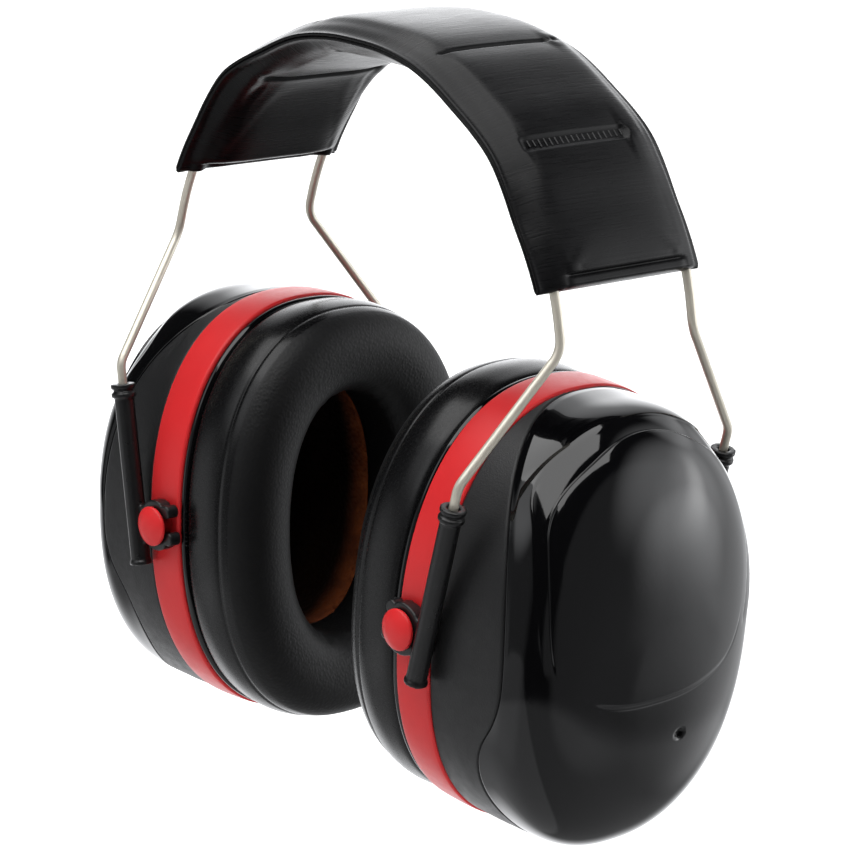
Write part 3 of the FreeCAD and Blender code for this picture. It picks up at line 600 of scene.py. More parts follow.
def grained_skin(name, colour, roughness, cell_scale, depth, wrinkle, specular, seam_share):
    """Soft coated skin: pebbled cells over shallow wrinkles, smoother and glossier before its seam."""
    def make(add, place):
        cells = add("TexVoronoi", Vector=place, Scale=cell_scale, feature="SMOOTH_F1"), "Distance"
        folds = add("TexNoise", Vector=place, Scale=cell_scale * 0.16, Detail=4.0, Roughness=0.55), "Fac"
        front = ramp(add, along_piece(add), seam_share - 0.006, seam_share + 0.006, 0.0, 1.0)
        gloss = ramp(add, cells, 0.0, 0.6, roughness - 0.27, roughness - 0.2)
        low = add("Bump", Distance=0.0003, Height=folds,
                  Strength=blended(add, front, wrinkle * 0.8, wrinkle * 0.2))
        high = add("Bump", Distance=0.00014, invert=True, Height=cells, Normal=(low, "Normal"),
                   Strength=blended(add, front, depth, depth * 0.02))
        return mottled(add, place, colour, 40.0, 3.0, 0.86, 1.16), blended(add, front, 0.28, gloss), high
    return finish(name, make, specular)


def lined_leatherette(name, colour):
    """Satin coated fabric with fine lines across the band, from the band's own UV map in metres."""
    def make(add, place):
        squeeze = add("Mapping", Vector=(add("UVMap", uv_map="along"), "UV"), Scale=(0.05, 1.0, 1.0))
        lines = add("TexNoise", Vector=(squeeze, "Vector"), Scale=2100.0, Detail=3.0, Roughness=0.6), "Fac"
        pores = add("TexNoise", Vector=place, Scale=1500.0, Detail=2.0), "Fac"
        small = add("Bump", Strength=0.12, Distance=0.0001, Height=pores)
        grooves = add("Bump", Strength=0.3, Distance=0.00012, Height=lines, Normal=(small, "Normal"))
        return (mottled(add, place, colour, 60.0, 4.0, 0.8, 1.25, 0.6),
                ramp(add, lines, 0.3, 0.7, 0.24, 0.34), grooves)
    return finish(name, make, 0.14)


def open_cell_foam(name, dark, light, scale, depth=None):
    """Open-cell foam: pitted cells with darker hollows, darker still past a depth along its UV map, a painted
    shade for the deep floor of a bowl.
    """
    def make(add, place):
        cells = add("TexVoronoi", Vector=place, Scale=scale), "Distance"
        cloud = add("TexNoise", Vector=place, Scale=scale * 0.25, Detail=5.0), "Fac"
        blend = add("ValToRGB", Fac=cloud)
        for element, colour, position in zip(blend.color_ramp.elements, (dark, light), (0.25, 0.75)):
            element.color = (*colour, 1)
            element.position = position
        shade = blend, "Color"
        # Painted shade: the colour falls to a share of itself past a depth span of the map, for the shade deep in
        # a bowl.
        if depth is not None:
            fade = ramp(add, along_piece(add), depth[0], depth[1], 1.0, depth[2], "SMOOTHSTEP")
            shade = add("VectorMath", shade, operation="SCALE", Scale=fade), "Vector"
        return (shade, ramp(add, cloud, 0.0, 1.0, 0.82, 0.98),
                add("Bump", Strength=0.8, Distance=0.0005, Height=cells))
    return finish(name, make, 0.2)


def drawn_steel(name, colour):
    """Drawn stainless wire: warm tint, fine die lines and a little uneven polish."""
    def make(add, place):
        squeeze = add("Mapping", Vector=place, Scale=(1.0, 1.0, 0.06)), "Vector"
        lines = add("TexNoise", Vector=squeeze, Scale=900.0, Detail=4.0, Roughness=0.6), "Fac"
        return (mottled(add, place, colour, 90.0, 3.0, 0.92, 1.06),
                ramp(add, lines, 0.3, 0.7, 0.3, 0.44),
                add("Bump", Strength=0.05, Distance=0.00005, Height=lines))
    return finish(name, make, 0.5, metallic=0.7)


SEAM_SHARE = 0.3
GLOSS_BLACK = moulded("gloss_black", (0.001, 0.001, 0.0012), 0.04, 0.04, 0.012, 700.0, 0.48, 0.08)
MATT_BLACK = moulded("matt_black", (0.0055, 0.0055, 0.0058), 0.4, 0.12, 0.3, 2600.0, 0.34, 0.12)
RED = moulded("satin_red", (0.36, 0.0125, 0.014), 0.32, 0.1, 0.1, 1800.0, 0.17, 0.05)
ARM_BLACK = moulded("arm_black", (0.0042, 0.0042, 0.0045), 0.27, 0.12, 0.14, 1500.0, 0.38, 0.12)
SKIN = grained_skin("soft_skin", (0.0022, 0.0022, 0.0024), 0.48, 1500.0, 0.5, 0.14, 0.28, SEAM_SHARE)
LEATHERETTE = lined_leatherette("leatherette", (0.0018, 0.0018, 0.002))
GREY_FOAM = open_cell_foam("grey_foam", (0.05, 0.05, 0.052), (0.13, 0.13, 0.135), 900.0)
# The orange foam darkens to 3% of its colour from 0.1 to 0.4 of the liner's depth: painted shade in the bowl.
ORANGE_FOAM_PAINTED_SHADE = open_cell_foam("orange_foam", (0.1, 0.022, 0.006), (0.24, 0.06, 0.014), 800.0, (0.1, 0.4, 0.03))
STEEL = drawn_steel("drawn_steel", (0.52, 0.49, 0.42))


# ---------------------------------------------------------------- cups
ARM_VOXEL = 0.28
ARM_PASSES = 4
CAP_OUTSIDE, CAP_INSIDE = cap_outside()
SHELL_OUTSIDE, SHELL_INSIDE = mid_shell_outside()

RING_ROUND = 0.7
RING_BULGE = 0.12
PLATE_LIP = 0.45
PLATE_OPENING = 18.0


def ring_profile():
    """Section of the red band: rounded outer corners, plain inner face."""
    outer, inner, radius = RIM, RING_INNER, RING_ROUND
    hollow = [(x, RING_BULGE * (((2 * x - inner - outer) / (outer - inner)) ** 2 - 1))
              for x in np.linspace(inner + radius, outer - radius, 8)[1:-1]]
    return [(inner, RING_WALL), (inner, radius * 1.6)] \
        + arc_points((inner + radius, radius), radius, 180, 270, 6) + hollow \
        + arc_points((outer - radius, radius), radius, 270, 360, 6) \
        + [(outer, radius * 1.6), (outer, RING_WALL)]


def plate_profile():
    """Section of the seal plate: a rounded lip outside and the edge of its opening inside."""
    back, front = PLATE_BACK, RING_INNER
    radius = (front - back) / 2
    lip = arc_points(((front + back) / 2, PLATE_LIP + radius), radius, 0, -180, 13)
    return [(front, PLATE_OPENING)] + lip + [(back, PLATE_OPENING)]


# Section of the cushion from the plate outwards, over the front and back along the opening.
CUSHION_SIDE = ((-6.4, 1.9), (-7.0, 1.0), (-9.0, 0.45), (-12.0, 0.15), (-15.4, 0.3), (-18.2, 0.9))
CUSHION_FRONT = ((-18.2, 0.9), (-20.6, 1.5), (-22.9, 3.0), (-24.5, 5.4), (-25.35, 8.4), (-25.6, 11.2),
                 (-25.45, 14.0), (-24.7, 16.6), (-23.3, 18.5), (-21.0, 19.8), (-18.0, 20.2),
                 (-12.0, 20.3), (-6.4, 20.3))
SEAM_GROOVE = 0.26
SEAM_ROWS = (-0.6, -0.3, 0.0, 0.3, 0.6)
CUSHION_HEART = (-15.0, 10.0)
CUSHION_COLUMNS = 220
CUSHION_SPACING = 1.1


def spaced(points, spacing):
    """Evenly spaced points on a smooth line through the given ones, ends kept."""
    points = np.array(points, float)
    knots = run_length(points)
    fine = cubic(knots, points, np.linspace(0, knots[-1], 400))
    length = run_length(fine)
    even = np.linspace(0, length[-1], max(3, int(round(length[-1] / spacing)) + 1))
    return np.stack([np.interp(even, length, fine[:, axis]) for axis in (0, 1)], 1)


def cushion_rows():
    """Rows of one cushion in the cup's frame, and the row of its seam."""
    side_rows = spaced(CUSHION_SIDE, CUSHION_SPACING)
    front_rows = spaced(CUSHION_FRONT, CUSHION_SPACING)
    profile = np.concatenate([side_rows, front_rows[1:]])
    rings = np.stack([cup_ring(reach, inset, CUSHION_COLUMNS) for reach, inset in profile])
    return rings, len(side_rows) - 1


CUSHION_PRESSURE = 4.0
CUSHION_CAP = 0.6
SIMULATION_FRAMES = 20
SIMULATION_SCALE = 10.0


def inflate(rows, held, pressure, cap, around=True):
    """Swell a sheet of rows by a short pressure simulation, its held rows kept in place."""
    count, columns = rows.shape[:2]
    flat = rows.reshape(-1, 3) * SIMULATION_SCALE
    piece = make_piece("swelling", flat, quads(count, columns, around=around))
    group = piece.vertex_groups.new(name="held")
    for weight in sorted(set(held.ravel().tolist())):
        if weight > 0:
            group.add(np.flatnonzero(held.ravel() == weight).tolist(), weight, "REPLACE")
    cloth = piece.modifiers.new("cloth", "CLOTH")
    for setting, value in (("vertex_group_mass", "held"), ("use_pressure", True),
                           ("uniform_pressure_force", pressure), ("quality", 6),
                           ("tension_stiffness", 15), ("bending_stiffness", 0.6)):
        setattr(cloth.settings, setting, value)
    cloth.settings.effector_weights.gravity = 0
    cloth.point_cache.frame_start = 1
    cloth.point_cache.frame_end = SIMULATION_FRAMES
    scene = bpy.context.scene
    for number in range(1, SIMULATION_FRAMES + 1):
        scene.frame_set(number)
    bpy.context.view_layer.update()
    result = piece.evaluated_get(bpy.context.evaluated_depsgraph_get())
    found = np.zeros(len(flat) * 3)
    result.data.vertices.foreach_get("co", found)
    moved = found.reshape(-1, 3) / MM / SIMULATION_SCALE - flat / SIMULATION_SCALE
    scene.frame_set(1)
    mesh = piece.data
    bpy.data.objects.remove(piece)
    bpy.data.meshes.remove(mesh)
    size = np.linalg.norm(moved, axis=1)
    moved *= (np.minimum(size, cap) / np.maximum(size, 1e-9))[:, None]
    return rows + moved.reshape(rows.shape)


def draw_seam(rows, seam):
    """Rows with a fine groove drawn in at the seam."""
    count = len(rows)
    places = sorted(set(range(count)) - {seam} | {seam + offset for offset in SEAM_ROWS})
    low = np.clip(np.floor(places).astype(int), 0, count - 2)
    share = (np.array(places) - low)[:, None, None]
    finer = rows[low] * (1 - share) + rows[low + 1] * share
    heart = cup_ring(CUSHION_HEART[0], CUSHION_HEART[1], CUSHION_COLUMNS)
    inward = heart[None] - finer
    inward /= np.linalg.norm(inward, axis=2)[:, :, None]
    depth = SEAM_GROOVE * np.maximum(0, 1 - np.abs(np.array(places) - seam) / SEAM_ROWS[-1]) ** 1.5
    return finer + inward * depth[:, None, None]


def cushion_shape():
    """Final rows of a cushion: swollen between plate, seam and opening, then its seam drawn in."""
    rows, seam = cushion_rows()
    held = np.zeros(rows.shape[:2])
    held[0], held[-1], held[seam] = 1, 1, 1
    held[1] = held[-2] = 0.6
    rows = inflate(rows, held, CUSHION_PRESSURE, CUSHION_CAP)
    return draw_seam(rows, seam)


CUSHION = cushion_shape()


def build_cushion(side):
    """Padded cushion with a map round it and across its section."""
    points = side.from_cup(CUSHION.reshape(-1, 3))
    length = run_length(CUSHION[:, 0])
    around = np.tile(np.arange(CUSHION_COLUMNS) / CUSHION_COLUMNS, len(CUSHION))
    uv = np.stack([around, np.repeat(length / length[-1], CUSHION_COLUMNS)], 1)
    faces = quads(len(CUSHION), CUSHION_COLUMNS, loop=True)
    piece = make_piece(side.name + "_cushion", points, faces, uv)
    finer = piece.modifiers.new("finer", "SUBSURF")
    finer.levels = finer.render_levels = 1
    finish_piece(piece, side.cup_body, SKIN,
                 (side.name + "_cushion_cover", side.name + "_cushion_foam"))


LINER_INSET = 8.2
LINER_WALL = 8.0
LINER_DEPTH = 27.3
LINER_OUTER_ROUND = 9
LINER_INNER_ROUND = 6
LINER_COLUMNS = 160


def liner_profile():
    """Section of the foam bowl: outside, rounded rim, hollow."""
    top = RING_INNER + LINER_DEPTH
    hollow = LINER_INSET + LINER_WALL
    outer, inner = LINER_OUTER_ROUND, LINER_INNER_ROUND
    outside = [(RING_INNER + 0.05, LINER_INSET + 1.0), (RING_INNER + 1.0, LINER_INSET + 0.05),
               (4.0, LINER_INSET), (10.0, LINER_INSET)]
    outside += arc_points((top - outer, LINER_INSET + outer), outer, 270, 360, 8)
    inside = arc_points((top - LINER_WALL - inner, hollow + inner), inner, 360, 270, 8)
    inside += [(4.0, hollow), (-1.0, hollow),
               (RING_INNER + 1.2, hollow - 0.1), (RING_INNER + 0.1, hollow - 1.2)]
    return outside, inside


def build_liner(side):
    """Foam bowl in the opening, with a map of its depth that the foam's painted shade follows."""
    outside, inside = liner_profile()
    columns = LINER_COLUMNS
    points = np.concatenate([cup_ring(reach, inset, columns) for reach, inset in outside + inside])
    tips = len(points)
    split, last = len(outside) * columns, tips - columns
    faces = quads(len(outside), columns) + quads(len(inside), columns, first=split)
    for c in range(columns):
        d = (c + 1) % columns
        faces.append([c, last + c, last + d, d])
    faces += fan(tips, split - columns, columns) + fan(tips + 1, split, columns, flip=True)
    ends = [points[split - columns:split].mean(0), points[split:split + columns].mean(0)]
    points = np.concatenate([points, ends])
    # The map's second way is the depth along which the foam's colour is darkened as painted shade.
    uv = np.stack([np.zeros(len(points)), (points[:, 0] - RING_INNER) / LINER_DEPTH], 1)
    piece = make_piece(side.name + "_ear_liner", side.from_cup(points), faces, uv)
    finish_piece(piece, side.cup_body, ORANGE_FOAM_PAINTED_SHADE, (side.name + "_foam_liner",))


STUD_HEAD_RADIUS = 4.6
STUD_HEAD_SIDE = 41.6
STUD_HEAD_EDGE = 0.9
STUD_HEAD_DOME = 1.4
STUD_HEAD_ROUND = 0.35
STUD_RADIUS = 2.5
STUD_FOOT = 35.5
STUD_COLUMNS = 64


def stud_profile():
    """Radius and distance from the middle of the cup along the stud."""
    radius, base = STUD_HEAD_RADIUS, STUD_HEAD_SIDE
    rim = base + STUD_HEAD_EDGE
    dome_radius = (radius ** 2 + STUD_HEAD_DOME ** 2) / (2 * STUD_HEAD_DOME)
    corner = radius - STUD_HEAD_ROUND
    profile = [(0.0, STUD_FOOT), (STUD_RADIUS - 0.3, STUD_FOOT), (STUD_RADIUS, STUD_FOOT + 0.3),
               (STUD_RADIUS, base), (corner, base)]
    profile += arc_points((corner, base + STUD_HEAD_ROUND), STUD_HEAD_ROUND, 300, 360, 3)
    profile += [(radius, rim - 0.15)]
    for share in np.linspace(0.0, 1.0, 14):
        r = (radius - 0.18) * math.cos(share * math.pi / 2)
        h = rim + STUD_HEAD_DOME - dome_radius + math.sqrt(dome_radius ** 2 - r ** 2)
        profile.append((r, h))
    profile[-1] = (0.0, profile[-1][1])
    return profile


def build_stud(side, end, sign):
    points, faces = spin(stud_profile(), STUD_COLUMNS)
    turned = np.column_stack([points[:, 0], sign * points[:, 2], points[:, 1]])
    piece = make_piece("%s_%s_button" % (side.name, end), side.from_cup(turned), faces)
    finish_piece(piece, side.cup_body, RED, ("%s_%s_stud" % (side.name, end),))


def soft_copy(name, node, voxel, passes):
    """Remeshed copy of a solid with its edges softened, as a moulding has them."""
    piece = set_out(name, frame["nodes"][node].data.copy())
    work = bmesh.new()
    work.from_mesh(piece.data)
    bmesh.ops.remove_doubles(work, verts=work.verts, dist=1e-6)
    work.to_mesh(piece.data)
    work.free()
    remesh = piece.modifiers.new("remesh", "REMESH")
    remesh.mode = "VOXEL"
    remesh.voxel_size = voxel * MM
    relax = piece.modifiers.new("relax", "SMOOTH")
    relax.factor = 0.5
    relax.iterations = passes
    made = plain_mesh(piece)
    old = piece.data
    piece.modifiers.clear()
    piece.data = made
    bpy.data.meshes.remove(old)
    made.name = name
    made.shade_smooth()
    return piece


JAW_START = -2.5
JAW_REACH = 0.7
JAW_SPREAD = 0.8
MOUTH_DEPTH = 2.2
MOUTH_FLARE = 0.22
MOUTH_REACH = 1.7
BORE_END = (-5.0, -7.5, -8.8)
BORE_EASE = 0.45
BORE_WIDEN = 0.1


def trim_arm(piece, side):
    """Draw the clip's jaws in towards the button and ease the bore that the wire slides in."""
    mesh = piece.data
    found = np.zeros(len(mesh.vertices) * 3)
    mesh.vertices.foreach_get("co", found)
    local = (found.reshape(-1, 3) / MM - side.pivot) @ side.arm.T
    jaw = step(JAW_START, JAW_START - 2.0, local[:, 0])
    local[:, 2] *= 1 - (1 - JAW_SPREAD) * jaw
    beyond = local[:, 0] - JAW_START
    local[:, 0] = np.where(beyond < 0, JAW_START + beyond * JAW_REACH, local[:, 0])
    top = local[:, 2].max()
    middle = local[local[:, 2] > top - MOUTH_DEPTH, :2].mean(axis=0)
    outward = local[:, :2] - middle
    reach = np.maximum(np.linalg.norm(outward, axis=1), 1e-6)
    bore = (reach < MOUTH_REACH) & (local[:, 2] > BORE_END[2])
    end = step(BORE_END[0], BORE_END[1], local[:, 2])
    flare = bore * (MOUTH_FLARE * step(top - MOUTH_DEPTH, top, local[:, 2]) + BORE_WIDEN * end)
    local[:, :2] += outward * (flare / reach)[:, None]
    local[:, 2] -= BORE_EASE * bore * end
    mesh.vertices.foreach_set("co", (side.from_arm(local) * MM).ravel())
    mesh.update()


def build_cup(side):
    name = side.name
    cap = closed_shell(name + "_gloss_cap", side, CAP_OUTSIDE, CAP_INSIDE, pole=True)
    finish_piece(cap, side.cup_body, GLOSS_BLACK, (name + "_outer_cap",))
    shell = closed_shell(name + "_matt_shell", side, SHELL_OUTSIDE, SHELL_INSIDE, pole=False)
    finish_piece(shell, side.cup_body, MATT_BLACK, (name + "_mid_shell",))
    ring = sweep_cup(name + "_red_band", side, ring_profile())
    finish_piece(ring, side.cup_body, RED, (name + "_trim_ring",))
    plate = sweep_cup(name + "_plate_rim", side, plate_profile())
    finish_piece(plate, side.cup_body, GLOSS_BLACK, (name + "_seal_plate",))
    build_cushion(side)
    build_liner(side)
    for end, sign in (("front", side.front), ("rear", -side.front)):
        build_stud(side, end, sign)
        arm = soft_copy("%s_%s_clip_arm" % (name, end), "%s_%s_arm" % (name, end), ARM_VOXEL, ARM_PASSES)
        trim_arm(arm, side)
        finish_piece(arm, side.arm_body, ARM_BLACK, ("%s_%s_arm" % (name, end),))


for side in SIDES:
    build_cup(side)


# ---------------------------------------------------------------- ribs
def rib_row_tree():
    """Geometry Nodes: a straight row of small rounded ribs with slightly uneven lengths."""
    tree = bpy.data.node_groups.new("rib_row", "GeometryNodeTree")
    tree.interface.new_socket(name="Geometry", in_out="OUTPUT", socket_type="NodeSocketGeometry")
    for name, kind in (("Count", "Int"), ("Pitch", "Float"), ("Length", "Float"), ("Thickness", "Float"),
                       ("Seed", "Int"), ("Finish", "Material")):
        tree.interface.new_socket(name=name, in_out="INPUT", socket_type="NodeSocket" + kind)
    _, add = calls_for(tree, "")
    given = add("NodeGroupInput")
    offset = add("ShaderNodeCombineXYZ", Y=(given, "Pitch"))
    line = add("GeometryNodeMeshLine", Count=(given, "Count"), Offset=(offset, "Vector"))
    end = add("ShaderNodeCombineXYZ", X=(given, "Length"))
    spine = add("GeometryNodeCurvePrimitiveLine", End=(end, "Vector"))
    outline = add("GeometryNodeCurvePrimitiveCircle", Resolution=8, Radius=(given, "Thickness"))
    rib = add("GeometryNodeCurveToMesh", **{
        "Curve": (spine, "Curve"), "Profile Curve": (outline, "Curve"), "Fill Caps": True})
    uneven = add("FunctionNodeRandomValue", data_type="FLOAT_VECTOR", Seed=(given, "Seed"),
                 Min=(0.8, 0.85, 0.7), Max=(1.1, 1.1, 1.1))
    spread = add("GeometryNodeInstanceOnPoints", Points=(line, "Mesh"), Instance=(rib, "Mesh"),
                 Scale=(uneven, "Value"))
    real = add("GeometryNodeRealizeInstances", Geometry=(spread, "Instances"))
    dress = add("GeometryNodeSetMaterial", Geometry=(real, "Geometry"), Material=(given, "Finish"))
    add("NodeGroupOutput", Geometry=(dress, "Geometry"))
    return tree


def rib_row(name, count, pitch, length, thickness, seed, material, places):
    """One mesh of rib rows, each set by a matrix in metres, its first rib at the row's start."""
    tree = rib_row_tree()
    carrier = set_out(name, bpy.data.meshes.new(name))
    maker = carrier.modifiers.new("ribs", "NODES")
    maker.node_group = tree
    sizes = {"Count": count, "Pitch": pitch * MM, "Length": length * MM, "Thickness": thickness * MM,
             "Seed": seed, "Finish": material}
    for socket in tree.interface.items_tree:
        if socket.in_out == "INPUT":
            maker[socket.identifier] = sizes[socket.name]
    row = plain_mesh(carrier)
    carrier.modifiers.clear()
    joined = bmesh.new()
    for place in places:
        copy = row.copy()
        copy.transform(place)
        joined.from_mesh(copy)
        bpy.data.meshes.remove(copy)
    bmesh.ops.recalc_face_normals(joined, faces=joined.faces)
    joined.to_mesh(carrier.data)
    joined.free()
    bpy.data.meshes.remove(row)
    carrier.data.shade_smooth()
    return carrier


def place_matrix(origin, x_way, y_way, z_way):
    """Matrix from three directions and an origin in millimetres."""
    turn = Matrix((tuple(x_way), tuple(y_way), tuple(z_way))).transposed().to_4x4()
    return Matrix.Translation(Vector(origin) * MM) @ turn


PLATE_RIBS = 9
PLATE_RIB_PITCH = 1.0
PLATE_RIB_LENGTH = 1.2
PLATE_RIB_THICKNESS = 0.22
PLATE_RIB_INSET = 0.95
PLATE_RIB_SEED = 3


def build_plate_ribs(side):
    """Grip ribs of the plate's catch, beside the front pivot."""
    start = (PLATE_BACK - 0.5, side.front * (CUP_HALF_WIDTH - PLATE_RIB_INSET),
             -PLATE_RIB_PITCH * (PLATE_RIBS - 1) / 2)
    place = place_matrix(side.from_cup(start), side.cup[0], side.cup[2], -side.cup[1])
    ribs = rib_row(side.name + "_catch_ribs", PLATE_RIBS, PLATE_RIB_PITCH, PLATE_RIB_LENGTH,
                   PLATE_RIB_THICKNESS, PLATE_RIB_SEED, GLOSS_BLACK, [place])
    finish_piece(ribs, side.cup_body, GLOSS_BLACK)


for side in SIDES:
    build_plate_ribs(side)


# ---------------------------------------------------------------- padded band
ARCH_RADIUS = 65.0
ARCH_HEIGHT = 53.0
BAND_START = -67.0
BAND_END = 70.3
BAND_HALF_WIDTH = 24.5
WELD_SPACE = 3.0
PAD_END = 2.6
PLY = 0.6
RIB_CREASE = 43.0
LINE_CREASE = 17.5
LINING_CREASES = (12.5, 37.0)
# half sections from the middle to the rim: distance from the middle, rise over the weld
TOP_HALF = ((0.0, 4.15), (8.0, 4.1), (14.0, 3.9), (16.9, 3.5), (18.7, 2.75), (20.6, 2.05), (22.3, 1.2),
            (23.2, 0.85), (24.5, 0.75))
TOP_FLAT = ((0.0, 3.1), (8.0, 3.1), (14.0, 3.0), (16.9, 2.9), (18.7, 2.6), (20.6, 2.05), (22.3, 1.2),
            (23.2, 0.85), (24.5, 0.75))
LINING_HALF = ((0.0, -5.5), (8.0, -5.5), (13.5, -5.2), (16.8, -4.3), (19.2, -3.0), (21.2, -1.9),
               (22.6, -1.0), (23.4, -0.75), (24.5, -0.7))
LINING_FLAT = ((0.0, -1.1), (8.0, -1.1), (14.0, -1.1), (16.9, -1.2), (18.4, -1.9), (20.4, -2.0),
               (22.0, -1.1), (23.4, -0.75), (24.5, -0.7))
# Soft corners of the band: angle over the head, shift outwards of both covers.
ARCH_CORNERS = ((-67.0, 0.0), (-55.0, 0.2), (-41.0, 2.3), (-28.0, 0.6), (-17.5, 0.9), (0.0, 0.0), (17.5, 0.6),
                (30.0, -0.2), (43.0, 0.6), (56.0, -1.1), (66.0, -0.4), (70.3, 0.0))
CORNER_SOFTNESS = 2.5
WIRE_SIDE = 19.7
END_ROLL = 1.1
REAR_RIM = 0.7
REAR_RIM_START = 20.0


def section(half, across):
    """Rise of a symmetrical section at distances from the middle."""
    table = np.array(half)
    return cubic(table[:, 0], table[:, 1], np.abs(across).ravel(), start=[0.0])[:, 0].reshape(across.shape)


def arc_length(angle, mark):
    """Distance along the band from a mark given in degrees."""
    return np.radians(angle - mark) * ARCH_RADIUS


def end_length(angle):
    """Distance along the band to its nearer end."""
    return np.minimum(arc_length(angle, BAND_START), arc_length(BAND_END, angle))


def padded_rise(angle, across, full, flat):
    """Rise of a cover: a full pad that ends in a short round slope at the end welds."""
    to_end = end_length(angle)
    share = np.sqrt(1 - (1 - np.clip((to_end - WELD_SPACE) / PAD_END, 0, 1)) ** 2)
    roll = np.clip(1 - to_end / END_ROLL, 0, 1)
    rise = section(flat, across) + (section(full, across) - section(flat, across)) * share
    return rise * (1 - 0.8 * roll ** 2)


def corner_shift(angle, across, sign):
    """Shift of a cover outwards from the arch, eased where it would bare a wire. sign is 1 for the top."""
    table = np.array(ARCH_CORNERS)
    fine = np.linspace(-75, 75, 601)
    window = np.hanning(int(4 * CORNER_SOFTNESS / 0.25) + 1)
    smooth = np.convolve(np.interp(fine, table[:, 0], table[:, 1]), window / window.sum(), "same")
    shift = np.interp(angle, fine, smooth)
    near_wire = bump(WIRE_SIDE, 3.5, np.abs(across))
    bares = shift * sign < 0
    return shift * np.where(bares, 1 - 0.6 * near_wire, 1.0)


def top_details(angle, across):
    """Sewn lines, ribbed slots and end welds pressed into the top cover."""
    sunk = np.zeros_like(across)
    for mark in (-LINE_CREASE, LINE_CREASE):
        length = arc_length(angle, mark)
        inside = step(-19.0, -16.5, across) * (1 - step(12.5, 14.5, across))
        sunk += inside * (0.4 * dent(length, 3.4) + 0.7 * dent(length, 0.42))
        end = np.hypot(length, across - 15.2)
        sunk += 0.5 * dent(end, 0.75) - 0.1 * dent(end - 2.0, 1.0)
    for mark in (-RIB_CREASE, RIB_CREASE):
        length = arc_length(angle, mark)
        inside = step(-18.0, -16.0, across) * (1 - step(11.5, 13.0, across))
        past_end = np.hypot(length, np.maximum(across - 11.6, 0))
        slot = 1 - step(0.9, 1.35, past_end)
        sunk += inside * 0.4 * dent(length, 4.2)
        sunk += step(-18.0, -16.0, across) * (0.5 * slot + 0.35 * dent(past_end - 1.35, 0.28))
        sunk -= 0.1 * dent(np.hypot(length, across - 15.5) - 0.6, 1.3)
    to_weld = WELD_SPACE - end_length(angle)
    pressed = 1 - step(16.4, 17.6, np.abs(across))
    sunk += pressed * 0.55 * dent(to_weld - 0.25, 0.33)
    sunk += 0.15 * bump(17.4, 0.9, np.abs(across)) * step(-5.0, 1.5, to_weld)
    return -sunk


def lining_details(angle, across):
    """Soft folds across the lining and its end welds."""
    sunk = np.zeros_like(across)
    inside = 1 - step(14.0, 19.0, np.abs(across))
    for fold in LINING_CREASES:
        for mark in (-fold, fold):
            length = arc_length(angle, mark)
            sunk += inside * (0.9 * dent(length, 4.5) + 1.1 * dent(length, 0.9))
            near = np.hypot(length, np.abs(across) - 18.0)
            sunk += 0.2 * dent(near, 1.8) - 0.08 * dent(near - 3.2, 1.3)
    to_weld = WELD_SPACE - end_length(angle)
    sunk += (1 - step(16.4, 17.6, np.abs(across))) * 0.3 * dent(to_weld - 0.25, 0.35)
    return sunk


def band_points(angle, across, rise):
    """Points over the head at each angle, distance from the middle and rise over the weld."""
    turn = np.radians(angle)
    radius = ARCH_RADIUS + rise
    return np.stack([radius * np.sin(turn), across, ARCH_HEIGHT + radius * np.cos(turn)], -1)


def band_angles(marks):
    """Angles along the band, closer together at the pressed lines."""
    angles = [BAND_START]
    while angles[-1] < BAND_END:
        near = min(abs(angles[-1] - mark) for mark in marks)
        angles.append(angles[-1] + 0.19 + 0.7 * float(step(1.6, 6.0, near)))
    angles[-1] = BAND_END
    return np.array(angles)


BAND_PRESSURE = 3.0
BAND_CAP = 0.35
SWELL_ROWS = 150
SWELL_COLUMNS = 41
BAND_COLUMNS = 91


def band_swell(full, flat, marks):
    """Coarse sheet of how far pressure moves a cover, held at its rims, lines and welds."""
    angle = np.linspace(BAND_START, BAND_END, SWELL_ROWS)
    across = np.linspace(-BAND_HALF_WIDTH, BAND_HALF_WIDTH, SWELL_COLUMNS)
    grid = np.meshgrid(angle, across, indexing="ij")
    sheet = band_points(grid[0], grid[1], padded_rise(grid[0], grid[1], full, flat))
    held = (np.abs(grid[1]) > 16.5) | (end_length(grid[0]) < WELD_SPACE + 0.7)
    for mark in marks:
        held |= (np.abs(arc_length(grid[0], mark)) < 0.7) & (np.abs(grid[1]) < 17.0)
    return angle, across, inflate(sheet, held.astype(float), BAND_PRESSURE, BAND_CAP, around=False) - sheet


def spread_swell(swell, angle, across):
    """Swelling read off the coarse sheet at finer places."""
    row = np.interp(angle, swell[0], np.arange(SWELL_ROWS))
    column = np.interp(across, swell[1], np.arange(SWELL_COLUMNS))
    r, c = np.clip(row.astype(int), 0, SWELL_ROWS - 2), np.clip(column.astype(int), 0, SWELL_COLUMNS - 2)
    fr, fc = (row - r)[..., None], (column - c)[..., None]
    field = swell[2]
    return (field[r, c] * (1 - fr) + field[r + 1, c] * fr) * (1 - fc) \
        + (field[r, c + 1] * (1 - fr) + field[r + 1, c + 1] * fr) * fc


